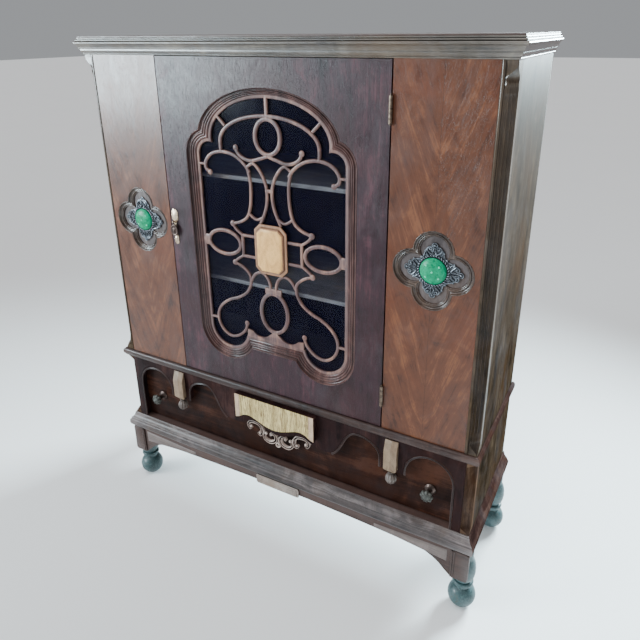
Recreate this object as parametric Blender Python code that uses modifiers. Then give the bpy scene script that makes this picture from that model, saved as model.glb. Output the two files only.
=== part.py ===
"""Display cabinet with a fretwork glazed door over one long drawer.

Drawing frame, in millimetres: x from the centre line, depth behind the case's
front face (negative is in front of it) and drop below the top.  place() turns
a drawing point into world metres, +Z up, with the origin on the floor under
the middle of the cabinet.
"""
import math

import bmesh
import bpy
from mathutils import Matrix, Vector

MM = 0.001
GAP = 0.3            # left between pieces that touch

# Driving dimensions
HEIGHT = 1292.0      # floor to top
HALF = 508.0         # half the case's width
DEPTH = 335.5        # front face to back
FORE = 17.0          # the knobs stand this far in front of the front face
AFT = 342.5          # the rear feet reach this far behind it
BOARD = 18.0         # case boards
CANT = 20.0          # canted front corners
LIP = 8.2            # the top's overhang
POST_W, POST_D = 27.0, 34.0

CORNICE = (0.0, 40.0)        # top and bottom drops of each stage
UPPER = (40.0, 838.0)
WAIST = (838.0, 859.0)
LOWER = (859.0, 1057.0)
BASE = (1057.0, 1104.0)
CASE_TOP = 18.0 + GAP
CASE_FOOT = BASE[1] - GAP

DOOR_LEFT, DOOR_RIGHT = -285.8, 285.2
DOOR_TOP, DOOR_BOTTOM = 41.5, 836.5
DOOR_T = 20.0
PANEL_EDGE = 288.2           # inner edge of the fixed front panels
PANEL_MID = (PANEL_EDGE + HALF - POST_W) / 2

MOULD_W = 24.0               # width of the window moulding
FRET = (9.0, 14.0)           # depths of the fretwork's two faces
GLASS = (14.3, 17.3)

LEAF_X, LEAF_Y = 286.7, -4.0   # hinge axis
LEAF_H = 52.2
HINGE_DROPS = {"top": 130.0, "bottom": 752.0}
KNUCKLE_R, PIN_R = 3.8, 1.7

SHELF_DROPS = {"upper": 305.3, "lower": 569.8}
SHELF_T = 10.0
DADO = 4.0                   # the shelves' housing in the sides

MEDAL_DROP = 436.5
LOBE_R, LOBE_OFFSET, POCKET = 43.0, 41.5, 9.5

PULL_X, PULL_PIVOT = -272.5, (425.0, -7.5)
FACE_T = 19.7                # arched drawer facade
RUN = 487.4                  # half the drawer front's width
KNOB_X, KNOB_DROP = 407.0, 980.0
DROP_X = 316.0
FOOT_X, FOOT_DEPTH = 500.0, 26.0


def clear_scene():
    for old in list(bpy.data.objects):
        bpy.data.objects.remove(old, do_unlink=True)


def new_collection(name):
    made = bpy.data.collections.new(name)
    bpy.context.scene.collection.children.link(made)
    return made


clear_scene()
PARTS = new_collection("display_cabinet")
CUTTERS = new_collection("cutters")


def place(x, depth, drop):
    middle = (AFT - FORE) / 2
    return Vector((x * MM, (depth - middle) * MM, (HEIGHT - drop) * MM))


# ---------------------------------------------------------------- materials

def paint(name, colour, roughness, metallic=0.0, alpha=1.0):
    made = bpy.data.materials.new(name)
    made.use_nodes = True
    shader = made.node_tree.nodes["Principled BSDF"]
    shader.inputs["Base Color"].default_value = (*colour, 1.0)
    shader.inputs["Roughness"].default_value = roughness
    shader.inputs["Metallic"].default_value = metallic
    shader.inputs["Alpha"].default_value = alpha
    return made


WALNUT = ((0.13, 0.055, 0.03), 0.35)
FIGURED = ((0.22, 0.08, 0.035), 0.32)
DARK = ((0.07, 0.028, 0.022), 0.33)
FRETWOOD = ((0.16, 0.075, 0.06), 0.45)
INNER = ((0.18, 0.11, 0.06), 0.6)
GILT = ((0.62, 0.48, 0.26), 0.45)
PEWTER = ((0.32, 0.33, 0.32), 0.38, 0.9)
JADE = ((0.04, 0.42, 0.19), 0.25)
BRASS = ((0.6, 0.47, 0.25), 0.35, 0.95)
VERDIGRIS = ((0.09, 0.2, 0.2), 0.6)
PANE = ((0.02, 0.025, 0.06), 0.05, 0.0, 0.35)


# ---------------------------------------------------------------- builders

def finish(name, mesh, look, origin=None):
    """Make the node: its origin at the middle of its box unless one is given."""
    made = bpy.data.objects.new(name, mesh)
    if look is None:
        CUTTERS.objects.link(made)
        made.hide_render = True
        made.display_type = "WIRE"
        return made
    PARTS.objects.link(made)
    mesh.materials.append(paint(name, *look))
    if origin is None:
        corners = [Vector(corner) for corner in made.bound_box]
        origin = sum(corners, Vector()) / 8
    mesh.transform(Matrix.Translation(-origin))
    made.location = origin
    return made


def bevel(made, width, segments=1):
    edge = made.modifiers.new("edges", "BEVEL")
    edge.width = width * MM
    edge.segments = segments
    edge.limit_method = "ANGLE"
    return made


def box(name, xs, depths, drops, look, eased=0.0):
    """A board between two x, two depths and two drops."""
    low = place(min(xs), min(depths), max(drops))
    high = place(max(xs), max(depths), min(drops))
    shape = bmesh.new()
    bmesh.ops.create_cube(shape, size=1.0)
    bmesh.ops.scale(shape, vec=high - low, verts=shape.verts)
    bmesh.ops.translate(shape, vec=(low + high) / 2, verts=shape.verts)
    mesh = bpy.data.meshes.new(name)
    shape.to_mesh(mesh)
    shape.free()
    made = finish(name, mesh, look)
    return bevel(made, eased) if eased else made


def plate(name, loops, span, look, plan=False):
    """Flat outlines (the first one the rim, the rest holes) made SPAN thick.

    The outlines are (x, drop) and SPAN two depths, or with plan they are
    (x, depth) and SPAN two drops.
    """
    curve = bpy.data.curves.new(name, "CURVE")
    curve.dimensions = "2D"
    curve.fill_mode = "BOTH"
    curve.extrude = abs(span[1] - span[0]) * MM / 2
    for loop in loops:
        spline = curve.splines.new("POLY")
        spline.points.add(len(loop) - 1)
        spline.use_cyclic_u = True
        for point, (u, v) in zip(spline.points, loop):
            point.co = (u * MM, v * MM if plan else -v * MM, 0.0, 1.0)
    guide = bpy.data.objects.new(name + "_outline", curve)
    bpy.context.scene.collection.objects.link(guide)
    middle = sum(span) / 2
    if plan:
        guide.matrix_world = Matrix.Translation(place(0, 0, middle))
    else:
        guide.matrix_world = (Matrix.Translation(place(0, middle, 0))
                              @ Matrix.Rotation(math.pi / 2, 4, "X"))
    bpy.context.view_layer.update()
    graph = bpy.context.evaluated_depsgraph_get()
    mesh = bpy.data.meshes.new_from_object(guide.evaluated_get(graph))
    mesh.transform(guide.matrix_world)
    bpy.data.objects.remove(guide, do_unlink=True)
    shape = bmesh.new()
    shape.from_mesh(mesh)
    bmesh.ops.remove_doubles(shape, verts=shape.verts, dist=0.00001)
    shape.to_mesh(mesh)
    shape.free()
    mesh.materials.clear()
    mesh.name = name
    return finish(name, mesh, look)


def loft(name, rings, look, wrap=False):
    """Skin a row of equal rings of world points; wrap joins last to first."""
    shape = bmesh.new()
    made_rings = [[shape.verts.new(point) for point in ring] for ring in rings]
    pairs = list(zip(made_rings, made_rings[1:]))
    if wrap:
        pairs.append((made_rings[-1], made_rings[0]))
    else:
        shape.faces.new(made_rings[0])
        shape.faces.new(made_rings[-1])
    for near, far in pairs:
        for i in range(len(near)):
            j = (i + 1) % len(near)
            shape.faces.new((near[i], near[j], far[j], far[i]))
    bmesh.ops.recalc_face_normals(shape, faces=shape.faces)
    mesh = bpy.data.meshes.new(name)
    shape.to_mesh(mesh)
    shape.free()
    return finish(name, mesh, look)


def turned(name, profile, origin, look, steps=20, along_y=False):
    """A turned piece: (radius, height) from its top to its bottom on its axis.

    With along_y the piece's top points out of the front.
    """
    mesh = bpy.data.meshes.new(name)
    points = [(r * MM, 0.0, h * MM) for r, h in profile]
    mesh.from_pydata(points, [(i, i + 1) for i in range(len(points) - 1)], [])
    made = finish(name, mesh, look, origin=Vector())
    spin = made.modifiers.new("turning", "SCREW")
    spin.axis = "Z"
    spin.steps = steps
    spin.render_steps = steps
    spin.use_merge_vertices = True
    spin.merge_threshold = 0.00005
    made.location = origin
    if along_y:
        made.rotation_euler = (math.pi / 2, 0, 0)
    return made


def boolean(made, operation, *operands):
    for other in operands:
        step = made.modifiers.new(operation.lower(), "BOOLEAN")
        step.operation = operation
        step.solver = "EXACT"
        step.object = other
    return made


def arc(cx, cy, radius, start, end, count):
    """Points of an arc in (x, drop), its angles in degrees from +x towards the top."""
    points = []
    for i in range(count + 1):
        angle = math.radians(start + (end - start) * i / count)
        points.append((cx + radius * math.cos(angle), cy - radius * math.sin(angle)))
    return points


def bezier(p0, p1, p2, p3, count):
    points = []
    for i in range(count + 1):
        t = i / count
        u = 1 - t
        points.append(tuple(u ** 3 * a + 3 * u * u * t * b + 3 * u * t * t * c + t ** 3 * d
                            for a, b, c, d in zip(p0, p1, p2, p3)))
    return points


def smooth(points, count):
    """A smooth curve through hand-set points, COUNT steps to each stretch."""
    padded = [points[0]] + list(points) + [points[-1]]
    made = []
    for a, b, c, d in zip(padded, padded[1:], padded[2:], padded[3:]):
        for i in range(count):
            t = i / count
            made.append(tuple(0.5 * (2 * q + (r - p) * t + (2 * p - 5 * q + 4 * r - s) * t * t
                                     + (3 * q - p - 3 * r + s) * t ** 3)
                              for p, q, r, s in zip(a, b, c, d)))
    made.append(points[-1])
    return made


def ribbon(line, width):
    """The outline of a strip WIDTH wide along a centre line."""
    left, right = [], []
    for i, (x, y) in enumerate(line):
        ax, ay = line[max(i - 1, 0)]
        bx, by = line[min(i + 1, len(line) - 1)]
        size = math.hypot(bx - ax, by - ay)
        nx, ny = (by - ay) / size, (ax - bx) / size
        left.append((x + nx * width / 2, y + ny * width / 2))
        right.append((x - nx * width / 2, y - ny * width / 2))
    return left + right[::-1]


def mirrored(points):
    return [(-x, y) for x, y in points]


def both_sides(half):
    """Close a right-hand outline, drawn from the centre line to it, with its mirror."""
    return half + mirrored(half)[::-1]


def ellipse(cx, cy, a, b, count):
    return [(cx + a * math.cos(math.tau * i / count), cy + b * math.sin(math.tau * i / count))
            for i in range(count)]


def union_of(name, loops_list, span, look):
    """One pierced or pieced plate: the union of many outlines at one depth."""
    first, *rest = [plate(name if i == 0 else f"{name}_bit_{i}", loops, span,
                          look if i == 0 else None) for i, loops in enumerate(loops_list)]
    return boolean(first, "UNION", *rest)


# ---------------------------------------------------------------- the case

CORNICE_PROFILE = [
    (GAP, 2.8), (8.8, 2.8), (10.0, 4.6), (9.0, 6.4), (11.2, 7.2), (12.4, 9.0), (11.6, 10.8),
    (14.2, 11.4), (16.4, 13.6), (16.4, 16.2), (13.4, 18.2), (10.0, 21.6), (8.2, 27.0),
    (5.4, 28.2), (4.6, 36.0), (2.4, 37.2), (2.0, 40.0), (GAP, 40.0)]
WAIST_PROFILE = [
    (GAP, 838.3), (4.0, 838.3), (7.6, 841.0), (8.6, 845.0), (8.6, 850.0), (7.4, 853.6),
    (4.6, 855.4), (3.8, 858.7), (GAP, 858.7)]
BASE_PROFILE = [
    (GAP, 1057.3), (2.6, 1057.3), (2.8, 1061.0), (4.6, 1067.0), (8.0, 1072.0), (12.4, 1075.4),
    (12.4, 1078.6), (15.0, 1081.6), (16.4, 1086.0), (16.4, 1094.0), (14.6, 1099.0),
    (10.0, 1101.0), (9.0, 1103.7), (GAP, 1103.7)]


def moulding(stem, profile, look):
    """A moulding round the front and both sides, mitred at the corners."""
    mitre = 0.2
    ends = [[place(side * (HALF + out - mitre), -out, drop) for out, drop in profile]
            for side in (-1, 1)]
    loft(f"{stem}_front", ends, look)
    for side, word in ((-1, "left"), (1, "right")):
        near = [place(side * (HALF + out), mitre - out, drop) for out, drop in profile]
        far = [place(side * (HALF + out), DEPTH, drop) for out, drop in profile]
        loft(f"{stem}_{word}", [near, far], look)


def case_top():
    top = box("top_board", (-HALF - LIP, HALF + LIP), (-LIP, DEPTH), (0, 2.5), WALNUT)
    core = box("top_core", (-HALF, HALF), (0, DEPTH), (1.0, 18.0), None)
    boolean(top, "UNION", core)
    moulding("cornice", CORNICE_PROFILE, WALNUT)
    box("top_rail", (-PANEL_EDGE + GAP, PANEL_EDGE - GAP), (0, BOARD), (CASE_TOP, 40.0), DARK)


def stage_board(name, drops, look):
    """A full-width board, notched at its front corners round the posts."""
    inner, wide = HALF - POST_W - GAP, HALF - BOARD - GAP
    half = [(0, GAP), (inner, GAP), (inner, POST_D + GAP), (wide, POST_D + GAP),
            (wide, DEPTH - 8.3), (0, DEPTH - 8.3)]
    rim = half[1:-1]
    plate(name, [rim + mirrored(rim)[::-1]], drops, look, plan=True)


def sides():
    for side, word in ((-1, "left"), (1, "right")):
        board = box(f"side_{word}", (side * (HALF - BOARD), side * HALF),
                    (POST_D + GAP, DEPTH - 8.0), (CASE_TOP, CASE_FOOT), WALNUT)
        for level, drop in SHELF_DROPS.items():
            across = (side * (HALF - BOARD - 5), side * (HALF - BOARD + DADO))
            groove = box(f"dado_{level}_{word}", across, (POST_D - 5, DEPTH),
                         (drop - GAP, drop + SHELF_T + GAP), None)
            boolean(board, "DIFFERENCE", groove)
    reach = HALF - BOARD + DADO - GAP
    for level, drop in SHELF_DROPS.items():
        box(f"shelf_{level}", (-reach, reach), (50.0, 322.0), (drop, drop + SHELF_T), INNER)


def posts():
    """Corner posts, canted between the mouldings and square behind them."""
    for side, word in ((-1, "left"), (1, "right")):
        post = box(f"corner_post_{word}", (side * (HALF - POST_W), side * HALF), (0, POST_D),
                   (CASE_TOP, CASE_FOOT), WALNUT)
        corner = [(side * (HALF - CANT - 1), -1), (side * (HALF + 1), -1),
                  (side * (HALF + 1), CANT + 1)]
        for stage, drops in (("upper", UPPER), ("lower", LOWER)):
            cut = plate(f"cant_{stage}_{word}", [corner], drops, None, plan=True)
            boolean(post, "DIFFERENCE", cut)
        notch = box(f"notch_{word}", (side * (HALF - POST_W - 1), side * (HALF - CANT)),
                    (-1, POST_D + 1), LOWER, None)
        boolean(post, "DIFFERENCE", notch)


def quatrefoil(radius, cx):
    """Outline of four overlapping lobes."""
    reach = math.degrees(math.acos(min(1.0, 0.0 + cusp(radius)[0] / radius)))
    points = []
    for turn in (0, 90, 180, 270):
        angle = math.radians(turn)
        lx = cx + LOBE_OFFSET * math.cos(angle)
        ly = MEDAL_DROP - LOBE_OFFSET * math.sin(angle)
        points += arc(lx, ly, radius, turn - reach, turn + reach, 10)[:-1]
    return points


def cusp(radius):
    """Where two lobes meet, from the first lobe's centre."""
    t = (LOBE_OFFSET + math.sqrt(2 * radius ** 2 - LOBE_OFFSET ** 2)) / 2
    return (t - LOBE_OFFSET, t)


def front_panels():
    for side, word in ((-1, "left"), (1, "right")):
        panel = box(f"front_panel_{word}", (side * PANEL_EDGE, side * (HALF - POST_W - GAP)),
                    (0, BOARD), (CASE_TOP, UPPER[1] - GAP), FIGURED)
        pocket = plate(f"pocket_{word}", [quatrefoil(LOBE_R, side * PANEL_MID)], (-1, POCKET), None)
        boolean(panel, "DIFFERENCE", pocket)
        medallion(word, side * PANEL_MID)


def medallion(word, cx):
    """Pewter cross in the pocket's floor, with a domed green stone on it."""
    rim = []
    for i in range(40):
        angle = math.tau * i / 40
        radius = 33.0 + 27.0 * abs(math.cos(2 * angle)) ** 3
        rim.append((cx + radius * math.cos(angle), MEDAL_DROP + radius * math.sin(angle)))
    plate(f"medallion_{word}", [rim], (6.4, POCKET - GAP), PEWTER)
    dome = [(0, 10), (9, 9.4), (17, 7.4), (23, 4.4), (27, 0.6), (27.5, 0), (0, 0)]
    turned(f"cabochon_{word}", dome, place(cx, 6.1, MEDAL_DROP), JADE, along_y=True)


def base():
    moulding("base_moulding", BASE_PROFILE, WALNUT)
    stage_board("base_board", (1057.3, 1075.0), INNER)
    lower_edge = smooth([(0, 1126), (70, 1126.5), (250, 1131), (400, 1139.5), (440, 1157),
                         (478, 1191)], 4)
    corner = [(504, 1191), (518, 1182), (518, BASE[1])]
    apron = plate("apron_front", [both_sides(lower_edge + corner)], (-8.5, -2.3), WALNUT)
    for side in (-1, 1):
        block = [(side * x, y) for x, y in ((476, 1106), (516.5, 1106), (516.5, 1180), (504, 1188),
                                            (480, 1188), (476, 1184))]
        wedge = [(side * x, y) for x, y in ((280, 1117), (466, 1115), (466, 1147), (280, 1127))]
        boolean(apron, "UNION", plate(f"corner_{side}", [block], (-11, -6), None),
                plate(f"wedge_{side}", [wedge], (-10.5, -6), None))
    side_edge = smooth([(58, 1150), (80, 1136), (110, 1131), (168, 1130), (225.5, 1131),
                        (255.5, 1136), (277.5, 1150)], 3)
    for side, word in ((-1, "left"), (1, "right")):
        rim = side_edge + [(277.5, BASE[1]), (58, BASE[1])]
        rings = [[place(x, depth, drop) for depth, drop in rim]
                 for x in (side * 500, side * (HALF - GAP))]
        loft(f"apron_{word}", rings, WALNUT)
    block = [[place(x, -8.8, drop) for x, drop in octagon(0, 1119, 66, 13.5, 3)],
             [place(x, -11.5, drop) for x, drop in octagon(0, 1119, 66, 13.5, 3)],
             [place(x, -14.5, drop) for x, drop in octagon(0, 1119, 60, 8.5, 3)]]
    loft("apron_block", block, GILT)


FOOT_PROFILE = (
    [(0, 188.0), (20, 188.0), (20, 146), (23, 140), (26.4, 128), (28, 113), (27, 98), (23.5, 86),
     (19.5, 79.5), (24, 77.5), (25, 73), (24, 68.5), (18.5, 66.5), (18, 61)]
    + [(33 * math.cos(math.radians(a)), 32 + 33 * math.sin(math.radians(a)))
       for a in (48, 32, 16, 0, -16, -32, -48, -63)]
    + [(8.0, 0.0), (0.0, 0.0)])


def feet():
    for end, depth in (("front", FOOT_DEPTH), ("rear", DEPTH - FOOT_DEPTH)):
        for side, word in ((-1, "left"), (1, "right")):
            turned(f"foot_{end}_{word}", FOOT_PROFILE, place(side * FOOT_X, depth, HEIGHT),
                   VERDIGRIS, steps=16)


# ---------------------------------------------------------------- the door

WINDOW_CROWN = 213.0         # centre of the head's half ellipse
SHOULDER = (159.0, 252.0)
LOBE = (135.0, 686.0)
SILL = 727.6


def head(inset):
    """Half-axes of the window's elliptical head."""
    rise = 112.4 - 15.0 * min(inset, MOULD_W) / MOULD_W - max(0.0, inset - MOULD_W)
    return 182.0 - inset, rise


def window(inset):
    """The window's outline, INSET inside its outer edge: an elliptical head between
    two round shoulders, straight sides, and a sill between two round lobes."""
    a, b = head(inset)
    shoulder_r, lobe_r = 60.0 - inset, 84.0 - inset
    low, high = math.radians(-20), math.radians(60)
    for _ in range(40):
        angle = (low + high) / 2
        x, drop = a * math.cos(angle), WINDOW_CROWN - b * math.sin(angle)
        outside = math.hypot(x - SHOULDER[0], drop - SHOULDER[1]) > shoulder_r
        low, high = (low, angle) if outside else (angle, high)
    notch = math.degrees(math.atan2(SHOULDER[1] - drop, x - SHOULDER[0]))
    half = [(a * math.sin(t), WINDOW_CROWN - b * math.cos(t))
            for t in [(math.pi / 2 - angle) * i / 14 for i in range(14)]]
    half += arc(*SHOULDER, shoulder_r, notch, 0, 6)
    sill = SILL - inset
    meet = -180 + math.degrees(math.asin((sill - LOBE[1]) / lobe_r))
    half += arc(*LOBE, lobe_r, 0, meet, 12)
    return half + mirrored(half[1:])[::-1]


FRET_LINES = [               # right-hand strips: width, then points from end to end
    (8.5, [(127, 222), (126.5, 243)]),
    (8.0, [(133, 163), (112, 184)]),
    (9.0, [(0, 244), (22, 251), (45, 257), (66, 253), (80, 243), (84, 233)]),
    (9.0, [(52, 284), (60, 271), (76, 257), (96, 247), (122, 243), (146, 247), (163, 257),
           (173, 272), (172, 285), (163, 292)]),
    (6.5, [(171, 275), (193, 275)]),
    (8.0, [(57, 272), (40, 263), (22, 280), (10, 305), (6.5, 330), (11, 362), (27, 399)]),
    (8.0, [(57, 274), (51, 300), (50, 330), (53, 360), (62, 386), (80, 401), (105, 409)]),
    (7.0, [(19, 383), (38, 391), (58, 379)]),
    (7.5, [(105, 409), (98, 421), (80, 434)]),
    (8.0, [(30, 434), (82, 434)]),
    (8.5, [(80, 430), (80, 489)]),
    (8.0, [(30, 485), (82, 485)]),
    (7.5, [(80, 485), (98, 497), (105, 505)]),
    (8.0, [(105, 506), (82, 516), (65, 532), (63, 548), (66, 562), (79, 582), (102, 598),
           (128, 609), (150, 624), (165, 643), (170, 664), (166, 684), (153, 702), (134, 711),
           (114, 707), (97, 695), (86, 681), (82, 666)]),
    (8.0, [(8, 560), (9, 545), (18, 527), (34, 520), (50, 528), (61, 545)]),
    (7.5, [(168, 667), (193, 667)]),
    (28.0, [(178, 459.5), (194, 459.5)]),
]
FRET_BALLS = [(85, 231, 6.5), (161, 293, 6.0), (106, 410, 7.5), (106, 505, 7.5), (82, 664, 6.0)]


def fretwork():
    """Sawn fretwork: a rim behind the moulding and strips joined into one piece."""
    bits = [[window(GAP), window(MOULD_W + 7.0)]]
    top_arch = [(127 * math.cos(math.radians(a)), 222 - 62 * math.sin(math.radians(a)))
                for a in range(0, 181, 10)]
    bits.append([ribbon(top_arch, 9.0)])
    bits.append([ribbon([(0, 118), (0, 164)], 9.0)])
    for drop, a, b in ((203, 32, 38), (620, 37, 51)):
        bits.append([ellipse(0, drop, a + 5.5, b + 5, 24), ellipse(0, drop, a - 5.5, b - 5, 24)])
    bits.append([[(-12, 317), (12, 317), (12, 325), (-12, 325)]])
    bits.append([[(-24, 555), (24, 555), (24, 573), (-24, 573)]])
    foot = arc(40, 660, 32, -135, -40, 6) + [(82, 676), (82, 700), (74, 706)]
    bits.append([both_sides([(0, 668)] + foot + [(0, 706)])])
    for points in (lambda line: line, mirrored):
        for width, line in FRET_LINES:
            drawn = smooth(line, 3) if len(line) > 2 else line
            bits.append([ribbon(points(drawn), width)])
        for x, drop, radius in FRET_BALLS:
            cx = points([(x, drop)])[0][0]
            bits.append([ellipse(cx, drop, radius, radius, 10)])
        ring = [points(ellipse(133, 459.5, a, b, 24)) for a, b in ((50.5, 34.5), (40.5, 24.5))]
        bits.append(ring)
    union_of("fretwork", bits, FRET, FRETWOOD)


def octagon(cx, drop, half_w, half_h, cut):
    corners = []
    for sx, sy in ((1, -1), (1, 1), (-1, 1), (-1, -1)):
        ends = [(cx + sx * (half_w - cut), drop + sy * half_h),
                (cx + sx * half_w, drop + sy * (half_h - cut))]
        corners += ends if sx * sy < 0 else ends[::-1]
    return corners


def door():
    rim = [(DOOR_LEFT, DOOR_TOP), (DOOR_RIGHT, DOOR_TOP), (DOOR_RIGHT, DOOR_BOTTOM),
           (DOOR_LEFT, DOOR_BOTTOM)]
    plate("door_frame", [rim, window(0)], (0, DOOR_T), DARK)
    section = [(GAP, 0.0), (4, 0.0), (7, 2.2), (10.5, 1.2), (13.5, 4.0), (17, 3.2), (20, 6.2),
               (MOULD_W, 7.0), (MOULD_W, 8.7), (GAP, 8.7)]
    rings = [[place(x, depth, drop) for x, drop in window(inset)] for inset, depth in section]
    loft("window_moulding", rings, DARK, wrap=True)
    fretwork()
    plate("window_glass", [window(GAP)], GLASS, PANE)
    plate("glass_bead", [window(GAP), window(16.0)], (GLASS[1] + GAP, DOOR_T), INNER)
    steps = ((8.7, 43.5, 60.5, 15), (5.5, 42.0, 59.0, 14), (3.4, 36.0, 54.0, 12),
             (2.6, 36.5, 54.5, 12), (0.0, 29.5, 48.5, 9))
    rings = [[place(x, depth, drop) for x, drop in octagon(0, 459, w, h, cut)]
             for depth, w, h, cut in steps]
    loft("fret_plaque", rings, GILT)
    box("door_catch", (DOOR_LEFT - 1.5, DOOR_LEFT - GAP), (4, 14), (428, 452), BRASS)


def lozenge(cx, drop, half_w, half_h):
    return octagon(cx, drop, half_w, half_h, half_w * 0.7)


def door_pull():
    """Brass backplate with two ears and a pin, and a flat drop that swings on the pin."""
    drop, depth = PULL_PIVOT
    rim = lozenge(PULL_X, 409, 10, 16)
    back = plate("pull_backplate", [rim], (-2.0, -GAP), BRASS)
    tail = lozenge(PULL_X, 470, 6.5, 13)
    stem = [(PULL_X - 3.5, 420), (PULL_X + 3.5, 420), (PULL_X + 3.5, 462), (PULL_X - 3.5, 462)]
    bits = [plate("pull_tail", [tail], (-2.0, -GAP), None),
            plate("pull_stem", [stem], (-1.9, -GAP), None)]
    for side in (-1, 1):
        xs = (PULL_X + side * 2.6, PULL_X + side * 4.4)
        bits.append(box(f"pull_ear_{side}", xs, (depth - 2.5, -1.0), (drop - 3, drop + 3), None))
    pin = turned("pull_pin", [(0, 5), (1.2, 5), (1.2, -5), (0, -5)], place(PULL_X, depth, drop), None,
                 steps=10)
    pin.rotation_euler = (0, math.pi / 2, 0)
    boolean(back, "UNION", *bits, pin)
    oval = ellipse(PULL_X, drop + 21, 11, 15.5, 20)
    leaf = plate("drop_pull", [oval], (depth - 1.5, depth + 1.5), BRASS)
    neck = box("pull_neck", (PULL_X - 1.8, PULL_X + 1.8), (depth - 1.4, depth + 1.4),
               (drop + 1, drop + 9), None)
    tools = []
    for word, radius, reach in (("eye", 3.2, 2.1), ("bore", 1.6, 5.0)):
        profile = [(0, reach), (radius, reach), (radius, -reach), (0, -reach)]
        tool = turned(f"pull_{word}", profile, place(PULL_X, depth, drop), None, steps=12)
        tool.rotation_euler = (0, math.pi / 2, 0)
        tools.append(tool)
    boolean(leaf, "UNION", neck, tools[0])
    boolean(leaf, "DIFFERENCE", tools[1])


def hinges():
    """Butt hinges: five knuckles each, three on the case leaf, which holds the pin."""
    length = LEAF_H / 5
    for word, mid in HINGE_DROPS.items():
        top = mid - LEAF_H / 2
        leaves = {"case": (286.95, 287.95, (0, 2, 4)), "door": (285.45, 286.45, (1, 3))}
        for owner, (x0, x1, knuckles) in leaves.items():
            leaf = box(f"hinge_{word}_{owner}_leaf", (x0, x1), (0.4, 16), (top, top + LEAF_H), BRASS)
            bits = []
            for i in knuckles:
                span = (top + i * length + 0.15, top + (i + 1) * length - 0.15)
                ring = ellipse(LEAF_X, LEAF_Y, KNUCKLE_R, KNUCKLE_R, 16)
                hole = ellipse(LEAF_X, LEAF_Y, PIN_R + 0.4, PIN_R + 0.4, 12)
                loops = [ring] if owner == "case" else [ring, hole]
                bits.append(plate(f"{word}_knuckle_{i}", loops, span, None, plan=True))
                bits.append(box(f"{word}_{owner}_tab_{i}", (x0, x1), (LEAF_Y + 2.4, 1.5), span, None))
            if owner == "case":
                profile = [(0, 3.0), (1.6, 2.4), (PIN_R, 0), (PIN_R, -LEAF_H - 0.1),
                           (1.6, -LEAF_H - 2.4), (0, -LEAF_H - 3.0)]
                bits.append(turned(f"{word}_pin", profile, place(LEAF_X, LEAF_Y, top), None,
                                   steps=12))
            boolean(leaf, "UNION", *bits)


# ---------------------------------------------------------------- the drawer

def facade_outline():
    """The drawer's arched front: an arch round each knob, a pendant, a sweeping inner
    arch and a waved middle that the carving hangs from."""
    half = [(RUN, 860.2), (RUN, 1056.5), (468, 1056.5)]
    half += arc(406.5, 938, 61.5, 0, 180, 14)
    half += [(345, 950), (290, 950)]
    half += bezier((290, 925), (289, 895), (262, 876), (228, 876), 6)
    half += bezier((228, 876), (182, 876), (188, 962), (140, 962), 8)[1:]
    half += smooth([(118, 960), (100, 954), (85, 945.5), (69, 943.8), (54, 946.5), (32, 956),
                    (16, 962.6), (0, 963)], 2)
    return half + mirrored(half[:-1])[::-1]


def drawer():
    plate("drawer_facade", [facade_outline()], (0, FACE_T), DARK)
    box("drawer_front", (-RUN, RUN), (20, 32), (862, 1056.5), WALNUT)
    for side, word in ((-1, "left"), (1, "right")):
        box(f"drawer_side_{word}", (side * 474, side * 486.9), (32.3, 300), (870, 1056.5), INNER)
        drawer_knob(word, side)
        drop_ornament(word, side)
    box("drawer_back", (-486.9, 486.9), (300.3, 312), (880, 1056.5), INNER)
    box("drawer_bottom", (-473.7, 473.7), (32.3, 300), (1044, 1050), INNER)
    half = [(117, 863)] + smooth([(117, 934), (105, 929.5), (92, 921.5), (78, 918.5),
                                  (60, 922), (40, 930), (20, 936.5), (0, 939)], 2)
    plate("reeded_panel", [half + mirrored(half[:-1])[::-1]], (-16.5, -GAP), GILT)
    scroll_carving()


def drawer_knob(word, side):
    profile = [(0, 36.7), (6, 36.2), (11, 34.2), (15.4, 30.4), (16, 27.6), (14.6, 24.6), (9, 21.6),
               (6, 18), (5.2, 9), (7, 5), (10.5, 3.6), (11, 0), (0, 0)]
    turned(f"drawer_knob_{word}", profile, place(side * KNOB_X, 20 - GAP, KNOB_DROP), PEWTER,
           steps=18, along_y=True)


def drop_ornament(word, side):
    """Arrised prism, faceted back at both ends, over a ball on a short neck."""
    cx = side * DROP_X
    rings = []
    for drop, arris in ((864, -3.0), (888, -12.0), (940, -12.0), (951, -5.0)):
        half = 16.0 if drop < 950 else 9.0
        rings.append([place(cx + x, depth, drop) for x, depth in (
            (-half, -GAP), (-half, -2.8), (0, arris), (half, -2.8), (half, -GAP))])
    ornament = loft(f"drop_ornament_{word}", rings, GILT)
    foot = box(f"drop_seat_{word}", (cx - 9, cx + 9), (-4, 10), (950.3, 953.5), None)
    ball = [(0, 7), (4.5, 7), (4.5, 3)]
    for angle in (66, 44, 22, 0, -22, -44, -66):
        turn = math.radians(angle)
        ball.append((14 * math.cos(turn), -12 + 14 * math.sin(turn)))
    ball.append((0, -26.6))
    knop = turned(f"drop_ball_{word}", ball, place(cx, 1.5, 960), None, steps=14)
    boolean(ornament, "UNION", foot, knop)


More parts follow.
